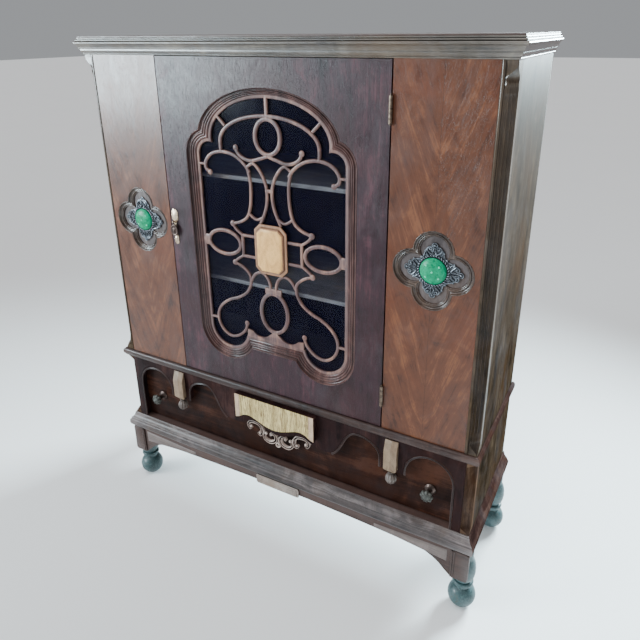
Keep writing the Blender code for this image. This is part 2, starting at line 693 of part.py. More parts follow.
def scroll_carving():
    """Carved C-scrolls that hang from the drawer front's waved edge."""
    bits = [[ellipse(0, 996.5, 10.5, 9.5, 12)]]
    for points in (lambda line: line, mirrored):
        whorl = smooth([(37, 972), (44, 985), (33, 995), (17, 994), (7, 983), (8, 971),
                        (17, 967.5), (23, 972)], 3)
        arch = smooth([(86, 967), (90, 956), (80, 951), (69, 950), (57, 953), (49, 963),
                       (50, 975), (55, 979)], 3)
        bits.append([ribbon(points(whorl), 7.5)])
        bits.append([ribbon(points(arch), 7.5)])
        for x, drop, radius in ((86, 966, 7), (54, 979, 8), (37, 972, 5.5), (22, 972, 5.5)):
            bits.append([ellipse(points([(x, drop)])[0][0], drop, radius, radius, 10)])
    union_of("scroll_carving", bits, (0.8, 9.0), GILT)


# ---------------------------------------------------------------- motion

MOVING = {                   # pivot: its place, the pivot it hangs from, and its pieces
    "door_hinge": (LEAF_X, LEAF_Y, 441.0, None, [
        "door_frame", "window_moulding", "fretwork", "window_glass", "glass_bead", "fret_plaque",
        "door_catch", "pull_backplate", "hinge_top_door_leaf", "hinge_bottom_door_leaf"]),
    "pull_swing": (PULL_X, PULL_PIVOT[1], PULL_PIVOT[0], "door_hinge", ["drop_pull"]),
    "drawer_slide": (0.0, 0.0, 958.0, None, [
        "drawer_facade", "drawer_front", "drawer_side_left", "drawer_side_right", "drawer_back",
        "drawer_bottom", "drawer_knob_left", "drawer_knob_right", "drop_ornament_left",
        "drop_ornament_right", "reeded_panel", "scroll_carving"]),
}


def hang(made, pivot):
    bpy.context.view_layer.update()
    world = made.matrix_world.copy()
    made.parent = pivot
    made.matrix_world = world


def pivots():
    """Empties on the joints' axes, with each moving piece hung from its own."""
    empties = {}
    for name, (x, depth, drop, carrier, pieces) in MOVING.items():
        empty = bpy.data.objects.new(name, None)
        PARTS.objects.link(empty)
        empty.location = place(x, depth, drop)
        empty.empty_display_size = 0.05
        empties[name] = empty
        if carrier:
            hang(empty, empties[carrier])
        for piece in pieces:
            hang(bpy.data.objects[piece], empty)


def build():
    case_top()
    sides()
    posts()
    front_panels()
    stage_board("case_floor", (838.3, 858.7), INNER)
    moulding("waist_moulding", WAIST_PROFILE, WALNUT)
    base()
    feet()
    box("back_panel", (-HALF + GAP, HALF - GAP), (DEPTH - 7.7, DEPTH), (CASE_TOP, CASE_FOOT), INNER)
    door()
    door_pull()
    hinges()
    drawer()
    pivots()


build()
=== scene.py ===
"""Looks for the display cabinet: woods, metals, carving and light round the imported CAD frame."""
from math import asin, atan2, cos, degrees, exp, hypot, pi, radians, sin, sqrt, tau

import bmesh
import bpy
from mathutils import Matrix, Vector


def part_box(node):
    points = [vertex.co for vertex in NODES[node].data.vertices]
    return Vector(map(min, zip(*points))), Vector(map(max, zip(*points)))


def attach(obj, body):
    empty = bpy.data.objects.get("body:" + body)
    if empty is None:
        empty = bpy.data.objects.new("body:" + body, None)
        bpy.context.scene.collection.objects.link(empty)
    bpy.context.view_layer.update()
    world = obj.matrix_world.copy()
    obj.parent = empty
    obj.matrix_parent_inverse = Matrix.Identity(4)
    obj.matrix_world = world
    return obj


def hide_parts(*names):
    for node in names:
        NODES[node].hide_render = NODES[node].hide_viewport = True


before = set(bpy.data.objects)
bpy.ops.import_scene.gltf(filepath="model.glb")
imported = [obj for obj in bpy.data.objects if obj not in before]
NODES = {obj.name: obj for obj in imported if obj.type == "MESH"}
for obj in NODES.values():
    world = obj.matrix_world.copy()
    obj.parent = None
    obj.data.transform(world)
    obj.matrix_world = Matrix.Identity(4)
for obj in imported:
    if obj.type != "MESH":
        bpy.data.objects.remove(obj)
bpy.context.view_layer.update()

MM = 0.001
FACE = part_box("door_frame")[0].y     # the case's front face
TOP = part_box("top_board")[1].z
SIDES = ((-1, "left"), (1, "right"))
HALF = 508                         # half the case's width, in millimetres like all below
MIDLINE = 459.5                      # drop of the fretwork's middle


def place(x, depth, drop):
    """World point from millimetres: x, depth behind the front face, drop below the top."""
    return Vector((x * MM, FACE + depth * MM, TOP - drop * MM))


# ---- materials

class Look:
    """A node material round one Principled shader."""

    def __init__(self, name):
        self.material = bpy.data.materials.new(name)
        self.material.use_nodes = True
        self.tree = self.material.node_tree
        self.shader = self.tree.nodes["Principled BSDF"]

    def add(self, kind, inputs=None, out=0, **settings):
        node = self.tree.nodes.new("ShaderNode" + kind)
        for key, value in settings.items():
            setattr(node, key, value)
        for key, value in (inputs or {}).items():
            self.feed(node.inputs[key], value)
        return node.outputs[out]

    def feed(self, socket, value):
        if isinstance(value, bpy.types.NodeSocket):
            self.tree.links.new(value, socket)
        elif hasattr(value, "__len__") and socket.type == "RGBA" and len(value) == 3:
            socket.default_value = (*value, 1)
        else:
            socket.default_value = value

    def set(self, **values):
        for key, value in values.items():
            self.feed(self.shader.inputs[key.replace("_", " ")], value)

    def math(self, operation, a, b=0):
        return self.add("Math", {0: a, 1: b}, operation=operation)

    def times(self, a, b):
        return self.math("MULTIPLY", a, b)

    def mix(self, factor, a, b):
        return self.add("Mix", {0: factor, 6: a, 7: b}, out=2, data_type="RGBA")

    def cover(self, base, colour, value, low, high, least, most):
        """COLOUR over BASE, from LEAST where the value is low to MOST where it is high."""
        return self.mix(self.span(value, low, high, least, most), base, colour)

    def span(self, value, low, high, to_low=0, to_high=1):
        return self.add("MapRange", {0: value, 1: low, 2: high, 3: to_low, 4: to_high})

    def ramp(self, factor, *stops):
        node = self.tree.nodes.new("ShaderNodeValToRGB")
        line = node.color_ramp
        line.interpolation = "EASE"
        while len(line.elements) < len(stops):
            line.elements.new(0.5)
        for element, (position, colour) in zip(line.elements, stops):
            element.position = position
            element.color = (*colour, 1)
        self.feed(node.inputs[0], factor)
        return node.outputs[0]

    def coords(self):
        return self.add("TexCoord", out=3)

    def stretch(self, vector, scale, turn=(0, 0, 0), shift=(0, 0, 0)):
        return self.add("Mapping", {"Vector": vector, "Scale": scale, "Rotation": turn,
                                    "Location": shift})

    def noise(self, vector, scale, detail=4, roughness=0.55, distortion=0, shift=(0, 0, 0)):
        """Noise at one scale, or at three with SHIFT moving it."""
        if hasattr(scale, "__len__"):
            vector, scale = self.stretch(vector, scale, shift=shift), 1
        return self.add("TexNoise", {"Vector": vector, "Scale": scale, "Detail": detail,
            "Roughness": roughness, "Distortion": distortion})

    def bump(self, height, distance, strength=1):
        node = self.add("Bump", {"Height": height, "Distance": distance, "Strength": strength})
        self.set(Normal=node)

    def axis(self, vector, number):
        return self.add("SeparateXYZ", {0: vector}, out=number)

    def ridge(self):
        """Pointiness: over one half on sharp edges."""
        return self.add("NewGeometry", out=7)

    def crevice(self, distance):
        """Ambient occlusion: low in the hollows."""
        return self.add("AmbientOcclusion", {"Distance": distance}, out=1, samples=8)


def toned(colour, factor, lift=0):
    return tuple(min(1, factor * c + lift) for c in colour)


def wood(name, dark, middle, light, grain="z", figure=1, lean=0, seam=None, rough=0.4,
         haze=0.25, coat=0.1, ridge_wear_hollow_shade=0, pores=1, shift=0, gloss=0.3, tooth=0.5,
         polish=None, sheen=0.2):
    """Old polished wood: broad figure, fine grain, open pores, hazy worn finish.

    GRAIN is the axis it runs along. With a SEAM the figure is book-matched about that x and
    leans away from it. COAT is the polish over the wood and SHEEN that coat's roughness. POLISH
    is two heights in metres: the coat is worn off below the first and whole above the second.
    SHIFT moves the pattern, so that no two boards share it.
    """
    look = Look(name)
    dark, middle, light = (toned(colour, 0.001) for colour in (dark, middle, light))
    spot = look.coords()
    run = spot
    if seam is not None:
        off = look.math("ABSOLUTE", look.math("SUBTRACT", look.axis(spot, 0), seam))
        run = look.add("CombineXYZ", {0: off, 1: look.axis(spot, 1), 2: look.axis(spot, 2)})
    turn = {"z": (0, lean, 0), "x": (0, pi / 2, 0), "y": (pi / 2, 0, 0)}[grain]
    along = look.add("VectorRotate", {"Vector": run, "Rotation": turn}, rotation_type="EULER_XYZ")
    wander = look.noise(along, (5, 5, 2.2), 3, shift=(shift, 0, 0))
    wander = look.add("VectorMath", {0: wander, 3: 0.055}, operation="SCALE")
    along = look.add("VectorMath", {0: along, 1: wander})
    broad = look.noise(along, (13, 13, 1.5), 5, 0.6, 0.9, shift=(shift, 0, shift))
    bands = look.noise(along, (62, 62, 2.6), 4, 0.65, 0.5)
    fine = look.noise(along, (420, 420, 9), 5, 0.7)
    flecks = look.noise(along, (1500, 1500, 50), 2, 0.5)
    mottle = look.noise(spot, (24, 24, 15), 5, 0.65, 1, shift=(2, shift, 5))
    layers = ((broad, 0.7 * figure), (bands, 0.5), (fine, 0.35), (mottle, 0.6))
    tone = 0.5 - 0.5 * sum(weight for _, weight in layers)
    for part, weight in layers:
        tone = look.math("ADD", look.times(part, weight), tone)
    base = look.ramp(tone, (0.3, dark), (0.5, middle), (0.7, light))
    cloud = look.noise(spot, (6, 6, 4.5), 6, 0.62, 0.6, shift=(shift, 3, 1))
    warm = (middle[0] * 1.5, middle[1] * 1.05, middle[2] * 0.6)
    base = look.cover(base, warm, cloud, 0.5, 0.68, 0, 0.5)
    pore = look.span(flecks, 0.56, 0.7)
    base = look.mix(look.times(pore, 0.45 * pores), base, toned(dark, 0.25))
    if seam is not None:
        base = look.cover(base, toned(dark, 0.2), off, 0.0003, 0.0009, 0.4, 0)
    bloom = look.noise(spot, (9, 9, 5), 6, 0.7, 0.8, shift=(1, 1, shift))
    base = look.cover(base, (0.09, 0.086, 0.094), bloom, 0.48, 0.75, 0, haze)
    scuffs = look.noise(look.stretch(spot, (90, 90, 160), (0.4, 0.3, 0.2)), 1, 3, 0.7, 2)
    scuff = look.span(scuffs, 0.67, 0.76, 0, 0.2)
    base = look.mix(scuff, base, toned(light, 2, 0.03))
    # Worn edges rubbed paler, and painted shade darkening the hollows.
    if ridge_wear_hollow_shade:
        ridge = look.math("ADD", look.ridge(), look.times(fine, 0.1))
        base = look.cover(base, toned(light, 1.8, 0.02), ridge, 0.555, 0.64, 0, ridge_wear_hollow_shade)
        base = look.cover(base, toned(dark, 0.25), look.crevice(0.007), 0.3, 0.9, 0.85, 0)
    if polish is not None:
        kept = look.math("ADD", look.axis(spot, 2), look.times(mottle, 0.12))
        coat = look.span(kept, polish[0] + 0.06, polish[1] + 0.06, 0, coat)
    look.set(Base_Color=base, Roughness=look.span(look.math("ADD", mottle, scuff), 0.3, 0.8,
        rough - 0.06, rough + 0.16), Coat_Weight=coat, Coat_Roughness=sheen,
        Specular_IOR_Level=gloss)
    relief = look.math("SUBTRACT", look.times(fine, 0.6), look.times(pore, 0.8))
    look.bump(relief, 0.00022, tooth)
    return look.material


def metal(name, bright, dull, rough, tarnish, metallic=0.9, crust=None):
    """Old cast metal: bright on the ridges, dull and dirty in the hollows."""
    look = Look(name)
    bright, dull = toned(bright, 0.001), toned(dull, 0.001)
    spot = look.coords()
    cloud = look.noise(spot, 160, 5, 0.65, 0.3)
    grit = look.noise(spot, 1400, 3)
    open_air = look.crevice(0.006)
    worn = look.times(look.span(open_air, 0.35, 0.95), look.span(cloud, 0.3, 0.62))
    base = look.mix(worn, dull, bright)
    if crust is not None:
        patch = look.span(look.noise(spot, 70, 4, 0.7), 0.52, 0.66, 0, 0.8)
        base = look.mix(patch, base, toned(crust, 0.001))
    look.set(Base_Color=base, Metallic=metallic,
             Roughness=look.span(cloud, 0.3, 0.7, rough + tarnish, rough))
    look.bump(look.math("ADD", cloud, look.times(grit, 0.25)), 0.0002, 0.6)
    return look.material


def carved(name, pale, glaze, deep, distance=0.006, mottle=1, rough=0.5, reeds=False):
    """Cream and gilt over carving, with painted shade darkening the hollows."""
    look = Look(name)
    pale, glaze, deep = (toned(colour, 0.001) for colour in (pale, glaze, deep))
    spot = look.coords()
    cloud = look.noise(look.stretch(spot, (1, 1, 0.6)), 46, 6, 0.68, 0.7)
    grit = look.noise(spot, 800, 4, 0.7)
    crack = look.add("TexVoronoi", {"Vector": spot, "Scale": 170}, feature="DISTANCE_TO_EDGE")
    base = look.cover(pale, glaze, cloud, 0.42, 0.66, 0, 0.75 * mottle)
    base = look.cover(base, glaze, grit, 0.5, 0.7, 0, 0.35)
    base = look.cover(base, deep, crack, 0, 0.03, 0.45 * mottle, 0)
    if reeds:
        # painted shade: dark upright streaks stand in for the shading of the reeds
        streak = look.noise(spot, (760, 60, 34), 4, 0.7, 0.4)
        base = look.cover(base, glaze, streak, 0.47, 0.54, 0, 0.9)
        base = look.cover(base, deep, streak, 0.55, 0.61, 0, 0.9)
    # painted shade: darker in the hollows
    base = look.cover(base, deep, look.crevice(distance), 0.35, 0.92, 0.9, 0)
    look.set(Base_Color=base, Roughness=look.span(cloud, 0.3, 0.7, rough - 0.08, rough + 0.12),
             Coat_Weight=0.08, Coat_Roughness=0.3, Specular_IOR_Level=0.35)
    look.bump(look.math("ADD", grit, look.times(crack, 2)), 0.00018, 0.6)
    return look.material


def jade(name, lift):
    """Green stone, cloudy inside; LIFT pales it."""
    look = Look(name)
    spot = look.coords()
    cloud = look.noise(spot, 95, 5, 0.6, 1.2)
    specks = look.noise(spot, 420, 3, 0.6)
    base = look.ramp(cloud, (0.3, (0, 0.13, 0.055)), (0.5, (0, 0.22, 0.1)),
        (0.7, (0.001, 0.3, 0.145)))
    base = look.cover(base, (0.01, 0.45, 0.2), specks, 0.56, 0.7, 0, 0.4)
    base = look.mix(lift, base, (0.12, 0.68, 0.42))
    # painted shade: darker in the hollows
    base = look.cover(base, (0.004, 0.07, 0.035), look.crevice(0.004), 0.4, 0.9, 0.5, 0)
    look.set(Base_Color=base, Roughness=look.span(specks, 0.35, 0.65, 0.24, 0.4),
             Specular_IOR_Level=0.12, Coat_Weight=0.03, Coat_Roughness=0.1, Subsurface_Weight=0.05,
             Subsurface_Scale=0.004)
    look.bump(cloud, 0.0003, 0.4)
    return look.material


def painted_feet():
    """Old blue-green paint, chipped and rubbed on its edges."""
    look = Look("foot_paint")
    spot = look.coords()
    cloud = look.noise(spot, 26, 6, 0.7, 0.8)
    grit = look.noise(spot, 240, 5, 0.7, 0.5)
    coat = look.ramp(cloud, (0.3, (0.008, 0.024, 0.027)), (0.5, (0.018, 0.052, 0.057)),
                     (0.68, (0.045, 0.108, 0.112)))
    coat = look.cover(coat, (0.085, 0.15, 0.15), grit, 0.48, 0.66, 0, 0.7)
    chips = look.span(look.math("ADD", look.times(cloud, 0.55),
                                look.times(grit, 0.45)), 0.54, 0.59)
    base = look.mix(look.times(chips, 0.75), coat, (0.045, 0.03, 0.022))
    base = look.cover(base, (0.15, 0.22, 0.22), look.ridge(), 0.53, 0.6, 0, 0.5)
    look.set(Base_Color=base, Roughness=look.span(grit, 0.3, 0.7, 0.38, 0.66), Coat_Weight=0.15)
    look.bump(look.math("SUBTRACT", grit, look.times(chips, 0.5)), 0.0006, 0.7)
    return look.material


def pane():
    """Dusty glass, near black and mostly opaque: painted shade for the dark inside behind it."""
    look = Look("pane")
    spot = look.coords()
    dust = look.noise(spot, 9, 6, 0.7, 0.4)
    # painted shade: the glass is tinted near black
    look.set(Base_Color=look.mix(look.span(dust, 0.4, 0.75), (0.002, 0.002, 0.012),
        (0.005, 0.006, 0.02)), Alpha=look.span(dust, 0.35, 0.75, 0.26, 0.32),
        Roughness=look.span(dust, 0.4, 0.8, 0.1, 0.2), Specular_IOR_Level=0.2)
    return look.material


def box_middle(node):
    low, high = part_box(node)
    return (low + high) / 2


# The colours of these palettes are linear, in thousandths.
WALNUT = dict(dark=(8.5, 4.5, 4), middle=(26, 12.8, 10.8), light=(62, 34, 27))
DARK = dict(dark=(7.5, 2.3, 4.5), middle=(23, 6.6, 11.5), light=(66, 20, 28))
FLAME = dict(dark=(36, 9.8, 4.2), middle=(83, 24.5, 9.6), light=(155, 53, 21))
SIDE = dict(dark=(12, 8, 5), middle=(34, 22, 14), light=(70, 47, 30),
            haze=0.35, rough=0.46, gloss=0, sheen=0.38)
MATERIALS = {
    "case_z": wood("case_walnut_upright", (14, 8.8, 5.2), (44, 28.5, 17.5), (92, 62, 38), haze=0.3,
        ridge_wear_hollow_shade=0.25, rough=0.32, shift=3, gloss=0.03, coat=0.8, polish=(0.6, 1.2)),
    "cove": wood("pocket_rim", (17, 9, 6.5), (50, 28, 19), (110, 70, 50), haze=0.2, coat=0.4,
        rough=0.27, pores=0.2, gloss=0.5, tooth=0.06, ridge_wear_hollow_shade=0.1),
    "field": wood("pocket_field", (35, 26, 26), (75, 58, 57), (130, 105, 105), haze=0.5, rough=0.5,
        pores=0.5),
    "side": wood("side_walnut", **SIDE, shift=4, coat=0.6, polish=(0.6, 1.25)),
    "side_left": wood("side_walnut_left", **SIDE, shift=6, coat=0.3, polish=(0.6, 1.5)),
    "cornice": wood("cornice_walnut", (19, 14, 10), (62, 49, 38), (150, 125, 100), grain="x",
        haze=0.5, ridge_wear_hollow_shade=0.35, rough=0.34, gloss=0.55, coat=0.4),
    "case_x": wood("case_walnut_across", **WALNUT, grain="x", ridge_wear_hollow_shade=0.35, gloss=0.25),
    "base": wood("base_walnut", (12.5, 9, 9), (46, 34.5, 33), (125, 100, 96), grain="x", haze=0.35,
        ridge_wear_hollow_shade=0.6, shift=8),
    "case_y": wood("case_walnut_deep", **WALNUT, grain="y", haze=0.3, ridge_wear_hollow_shade=0.2, gloss=0,
        coat=0.5, polish=(0.9, 1.25)),
    "door": wood("door_walnut", **DARK, figure=0.8, shift=2, rough=0.38, tooth=1.1, pores=1.3),
    "rim": wood("rim_walnut", (14.5, 5.5, 5.5), (48, 20, 18.5), (115, 54, 47), haze=0.1, coat=0.2,
        rough=0.33, ridge_wear_hollow_shade=0.15, pores=0.2, gloss=0.2, tooth=0.06),
    "facade": wood("facade_walnut", (6, 2.6, 3), (17, 7, 7), (46, 20, 17), haze=0.1, shift=7,
        gloss=0.05, coat=0.02),
    "recess": wood("recess_walnut", (7, 3, 2.8), (18, 7, 4.8), (55, 21, 12.5), grain="x",
        haze=0.08, shift=9, gloss=0.05, coat=0.02, figure=1.3),
    "fret": wood("fret_wood", (24, 11.5, 12.5), (72, 38, 40), (220, 118, 88), haze=0.5, rough=0.42,
        pores=0.4, ridge_wear_hollow_shade=0.3),
    "inside": wood("inside_wood", (8, 6, 6), (14, 11, 11), (22, 18, 18), haze=0.1, rough=0.6,
        coat=0, gloss=0.1),
    "plain": wood("drawer_wood", (90, 55, 30), (170, 110, 62), (270, 190, 110), grain="y",
        haze=0.2, rough=0.6, coat=0),
    "back": wood("back_board", (15, 9.5, 6), (28, 18, 11.5), (46, 31, 20), haze=0.2, rough=0.66,
        coat=0, gloss=0.08),
    "shelf": wood("shelf_board", (180, 175, 183), (270, 263, 277), (370, 360, 375), grain="x",
        haze=0.3, rough=0.45, pores=0.2, gloss=0.2),
    "pale": wood("worn_block", (50, 36, 30), (135, 104, 88), (280, 230, 200), grain="x", haze=0.3,
        rough=0.45, ridge_wear_hollow_shade=0.4),
    "overlay": wood("worn_overlay", (9, 6, 5.5), (38, 28, 25), (130, 102, 94), grain="x", haze=0.5,
        rough=0.5, ridge_wear_hollow_shade=0.5, gloss=0.1, figure=1.4),
    "bead": wood("worn_bead", (7.5, 3.8, 3.6), (20, 10.5, 9.5), (52, 29, 25), haze=0.15,
        ridge_wear_hollow_shade=0.25, pores=0.3, gloss=0.15),
    # painted highlight: the shelves' front edges paler than the shelves
    "lip": wood("shelf_edge_highlight", (270, 260, 280), (380, 370, 395), (500, 490, 520), grain="x",
        haze=0.3, pores=0.3),
    "cant": wood("canted_corner", (14, 7.5, 5), (42, 22, 13.5), (90, 52, 32), rough=0.5,
        ridge_wear_hollow_shade=0.2, shift=6, gloss=0, coat=0),
    "cream": carved("cream_paint", (760, 620, 290), (340, 225, 85), (90, 50, 20), distance=0.0025,
        mottle=0.5, reeds=True),
    "cream_edge": carved("cream_margin", (540, 380, 260), (320, 200, 130), (90, 50, 30),
        distance=0.0025, mottle=0.9),
    "scroll": carved("scroll_gilt", (560, 440, 385), (280, 205, 170), (12, 7, 6), distance=0.004,
        mottle=0.6),
    "drop": carved("drop_gilt", (235, 158, 100), (85, 48, 28), (20, 11, 8), distance=0.004,
        mottle=0.8),
    "melon": carved("dull_ball", (140, 110, 95), (60, 42, 35), (12, 8, 7), distance=0.003,
        rough=0.36),
    "plaque": carved("plaque_gilt", (740, 410, 135), (400, 175, 48), (100, 40, 16), distance=0.005,
        mottle=0.9),
    "plaque_rim": carved("plaque_edge", (300, 150, 80), (130, 60, 32), (30, 13, 8), distance=0.005,
        mottle=0.9),
    "pewter": metal("pewter", (240, 260, 290), (20, 25, 32), 0.32, 0.2),
    "knob": metal("knob_metal", (100, 100, 88), (20, 19, 17), 0.44, 0.25, metallic=0.5,
        crust=(45, 47, 40)),
    "brass": metal("brass", (720, 580, 440), (220, 140, 75), 0.3, 0.2),
    "bronze": metal("dark_bronze", (100, 70, 60), (20, 13, 12), 0.36, 0.2),
    "hinge": metal("hinge_brass", (190, 140, 105), (35, 23, 18), 0.4, 0.2),
    "jade": jade("jade", 0),
    "jade_highlight": jade("jade_knots", 0.75),
    "feet": painted_feet(),
    "pane": pane(),
}
for side_word in ("left", "right"):
    MATERIALS[f"flame_{side_word}"] = wood(f"figured_walnut_{side_word}", **FLAME, figure=0.55,
        lean=-0.34, seam=box_middle(f"front_panel_{side_word}").x, haze=0.2, rough=0.34, coat=0.25,
        pores=0.7, shift=1 if side_word == "left" else 5)


# CAD nodes that keep their shape, by material
for material_key, node_names in (
        ("case_x", "top_board case_floor base_board top_rail"), ("side", "side_right"),
        ("side_left", "side_left"), ("case_y", "apron_left apron_right"),
        ("flame_left", "front_panel_left"), ("flame_right", "front_panel_right"),
        ("door", "door_frame"), ("facade", "drawer_facade"), ("recess", "drawer_front"),
        ("shelf", "shelf_upper shelf_lower"), ("back", "back_panel"), ("inside", "glass_bead"),
        ("plain", "drawer_side_left drawer_side_right drawer_back drawer_bottom"),
        ("pane", "window_glass"),
        ("hinge", "door_catch hinge_top_case_leaf hinge_top_door_leaf"),
        ("hinge", "hinge_bottom_case_leaf hinge_bottom_door_leaf")):
    for node_name in node_names.split():
        node_materials = NODES[node_name].data.materials
        node_materials.clear()
        node_materials.append(MATERIALS[material_key])


# ---- shapes

def linked(name, data):
    made = bpy.data.objects.new(name, data)
    bpy.context.scene.collection.objects.link(made)
    return made


def piece(name, shape, material, body, *stands_for, slot=None, sharp=32, second=None):
    """Turn a bmesh into a finished piece that rides on a body."""
    bmesh.ops.recalc_face_normals(shape, faces=shape.faces)
    mesh = bpy.data.meshes.new(name)
    shape.to_mesh(mesh)
    shape.free()
    mesh.shade_smooth()
    mesh.set_sharp_from_angle(angle=radians(sharp))
    mesh.materials.append(MATERIALS[material])
    if second:
        mesh.materials.append(MATERIALS[second])
    made = linked(name, mesh)
    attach(made, body)
    if stands_for:
        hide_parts(*stands_for)
    return made


def second_look(shape, start=0):
    """Give the faces from START on the piece's second material."""
    for face in list(shape.faces)[start:]:
        face.material_index = 1


def skin(shape, rings, wrap=False):
    """A solid through a row of equal rings; wrap joins the last ring to the first."""
    rows = [[shape.verts.new(point) for point in ring] for ring in rings]
    pairs = list(zip(rows, rows[1:]))
    if wrap:
        pairs.append((rows[-1], rows[0]))
    else:
        shape.faces.new(rows[0])
        shape.faces.new(rows[-1])
    for near, far in pairs:
        for i in range(len(near)):
            j = (i + 1) % len(near)
            shape.faces.new((near[i], near[j], far[j], far[i]))


def smooth(points, count):
    """A smooth curve through the points, COUNT steps to each stretch."""
    padded = [points[0]] + list(points) + [points[-1]]
    made = []
    for a, b, c, d in zip(padded, padded[1:], padded[2:], padded[3:]):
        for i in range(count):
            t = i / count
            made.append(tuple(0.5 * (2 * q + (r - p) * t + (2 * p - 5 * q + 4 * r - s) * t * t
                + (3 * q - p - 3 * r + s) * t ** 3) for p, q, r, s in zip(a, b, c, d)))
    made.append(tuple(points[-1]))
    return made


def profile(*runs):
    """A moulding's section from runs of points; a run of three or more is curved."""
    made = []
    for run in runs:
        made += smooth(run, 5) if len(run) > 2 else list(run)
    return made


def arc(cx, cy, radius, start, end, count):
    """COUNT steps round a circle between two angles in degrees."""
    points = []
    for i in range(count + 1):
        angle = radians(start + (end - start) * i / count)
        points.append((cx + radius * cos(angle), cy - radius * sin(angle)))
    return points


def oval(cx, cy, a, b, count):
    """COUNT points round an ellipse."""
    return [(cx + a * cos(tau * i / count), cy + b * sin(tau * i / count))
            for i in range(count)]


def bezier(corners, count):
    """A cubic curve by its four control points, in COUNT steps."""
    made = []
    for i in range(count + 1):
        t = i / count
        u = 1 - t
        made.append(tuple(u ** 3 * p + 3 * u * u * t * q + 3 * u * t * t * r + t ** 3 * s
                          for p, q, r, s in zip(*corners)))
    return made


def sided(side, points):
    """Points of the right half, or their mirror image for side -1."""
    return [(side * x, y) for x, y in points]


def lathe(shape, outline, origin, steps=40, forward=False, lobes=0, depth=0, squash=1):
    """A turned form from (radius, height, top first), reeded where lobes are given.

    With forward its top points out of the front.
    """
    rings = []
    for radius, height in outline:
        ring = []
        for i in range(steps):
            angle = tau * i / steps
            r = radius * (1 - depth * (0.5 - 0.5 * cos(lobes * angle)) ** 2 if lobes else 1)
            u, v = r * cos(angle) * squash * MM, r * sin(angle) * MM
            local = Vector((u, -height * MM, v)) if forward else Vector((u, v, height * MM))
            ring.append(origin + local)
        rings.append(ring)
    skin(shape, rings)


def ball(shape, centre, radius, flat=1, steps=12):
    """A bead, flattened front to back by FLAT."""
    outline = []
    for i in range(1, 8):
        angle = radians(90 - 180 * i / 8)
        outline.append((radius * cos(angle), radius * flat * sin(angle)))
    lathe(shape, outline, centre, steps, forward=True)


def rod(shape, path, radii, sides=8):
    """A round rod along world points, with a radius in millimetres at each."""
    rings = []
    normal = None
    for i, point in enumerate(path):
        ahead = path[min(i + 1, len(path) - 1)] - path[max(i - 1, 0)]
        ahead.normalize()
        if normal is None:
            normal = ahead.orthogonal().normalized()
        normal = (normal - ahead * normal.dot(ahead)).normalized()
        other = ahead.cross(normal)
        radius = (radii[i] if hasattr(radii, "__len__") else radii) * MM
        rings.append([point + (normal * cos(tau * k / sides) + other * sin(tau * k / sides))
            * radius for k in range(sides)])
    skin(shape, rings)


CROWN = [(-1, 1), (-1, 0.3), (-0.86, 0.1), (-0.6, 0), (0, -0.04), (0.6, 0), (0.86, 0.1),
         (1, 0.3), (1, 1)]
GROOVED = [(-1, 1), (-1, 0.3), (-0.87, 0.05), (-0.7, 0), (-0.52, 0.22), (-0.42, 0.62),
           (0.42, 0.62), (0.52, 0.22), (0.7, 0), (0.87, 0.05), (1, 0.3), (1, 1)]


def strip(shape, line, widths, front, back, section=None, loop=False):
    """A carved strip along (x, drop) points: SECTION's first number is across the
    strip, its second is from 0 at the front to 1 at the back."""
    rings = []
    count = len(line)
    for i, (x, y) in enumerate(line):
        ax, ay = line[(i - 1) % count if loop else max(i - 1, 0)]
        bx, by = line[(i + 1) % count if loop else min(i + 1, count - 1)]
        size = hypot(bx - ax, by - ay) or 1
        nx, ny = (by - ay) / size, (ax - bx) / size
        half = (widths[i] if hasattr(widths, "__len__") else widths) / 2
        rings.append([place(x + nx * half * u, front + (back - front) * v, y + ny * half * u)
                      for u, v in section or CROWN])
    skin(shape, rings, wrap=loop)


def slab(shape, outlines, wrap=False):
    """A solid through (depth, outline) stations, each outline in (x, drop)."""
    skin(shape, [[place(x, depth, drop) for x, drop in outline] for depth, outline in outlines],
         wrap)


def octagon(cx, drop, half_w, half_h, cut):
    """A rectangle with its corners cut off, round a centre."""
    corners = []
    for sx, sy in ((1, -1), (1, 1), (-1, 1), (-1, -1)):
        ends = [(cx + sx * (half_w - cut), drop + sy * half_h),
                (cx + sx * half_w, drop + sy * (half_h - cut))]
        corners += ends if sx * sy < 0 else ends[::-1]
    return corners


# ---- mouldings

def moulding(stem, section, front="case_x"):
    """A moulding round the front and sides, with mitred front corners."""
    mitre, rear, cuts = 0.15, 335.5, 24
    for word in ("front", "left", "right"):
        side = -1 if word == "left" else 1
        if word == "front":
            ends = [[place(end * (HALF + out - mitre), -out, drop) for out, drop in section]
                    for end in (-1, 1)]
        else:
            ends = [[place(side * (HALF + out), mitre - out, drop) for out, drop in section],
                    [place(side * (HALF + out), rear, drop) for out, drop in section]]
        shape = bmesh.new()
        skin(shape, [[a.lerp(b, k / cuts) for a, b in zip(*ends)] for k in range(cuts + 1)])
        piece(f"{stem}_{word}_run", shape, front if word == "front" else "case_y", "case",
              f"{stem}_{word}", slot="walnut", sharp=40)


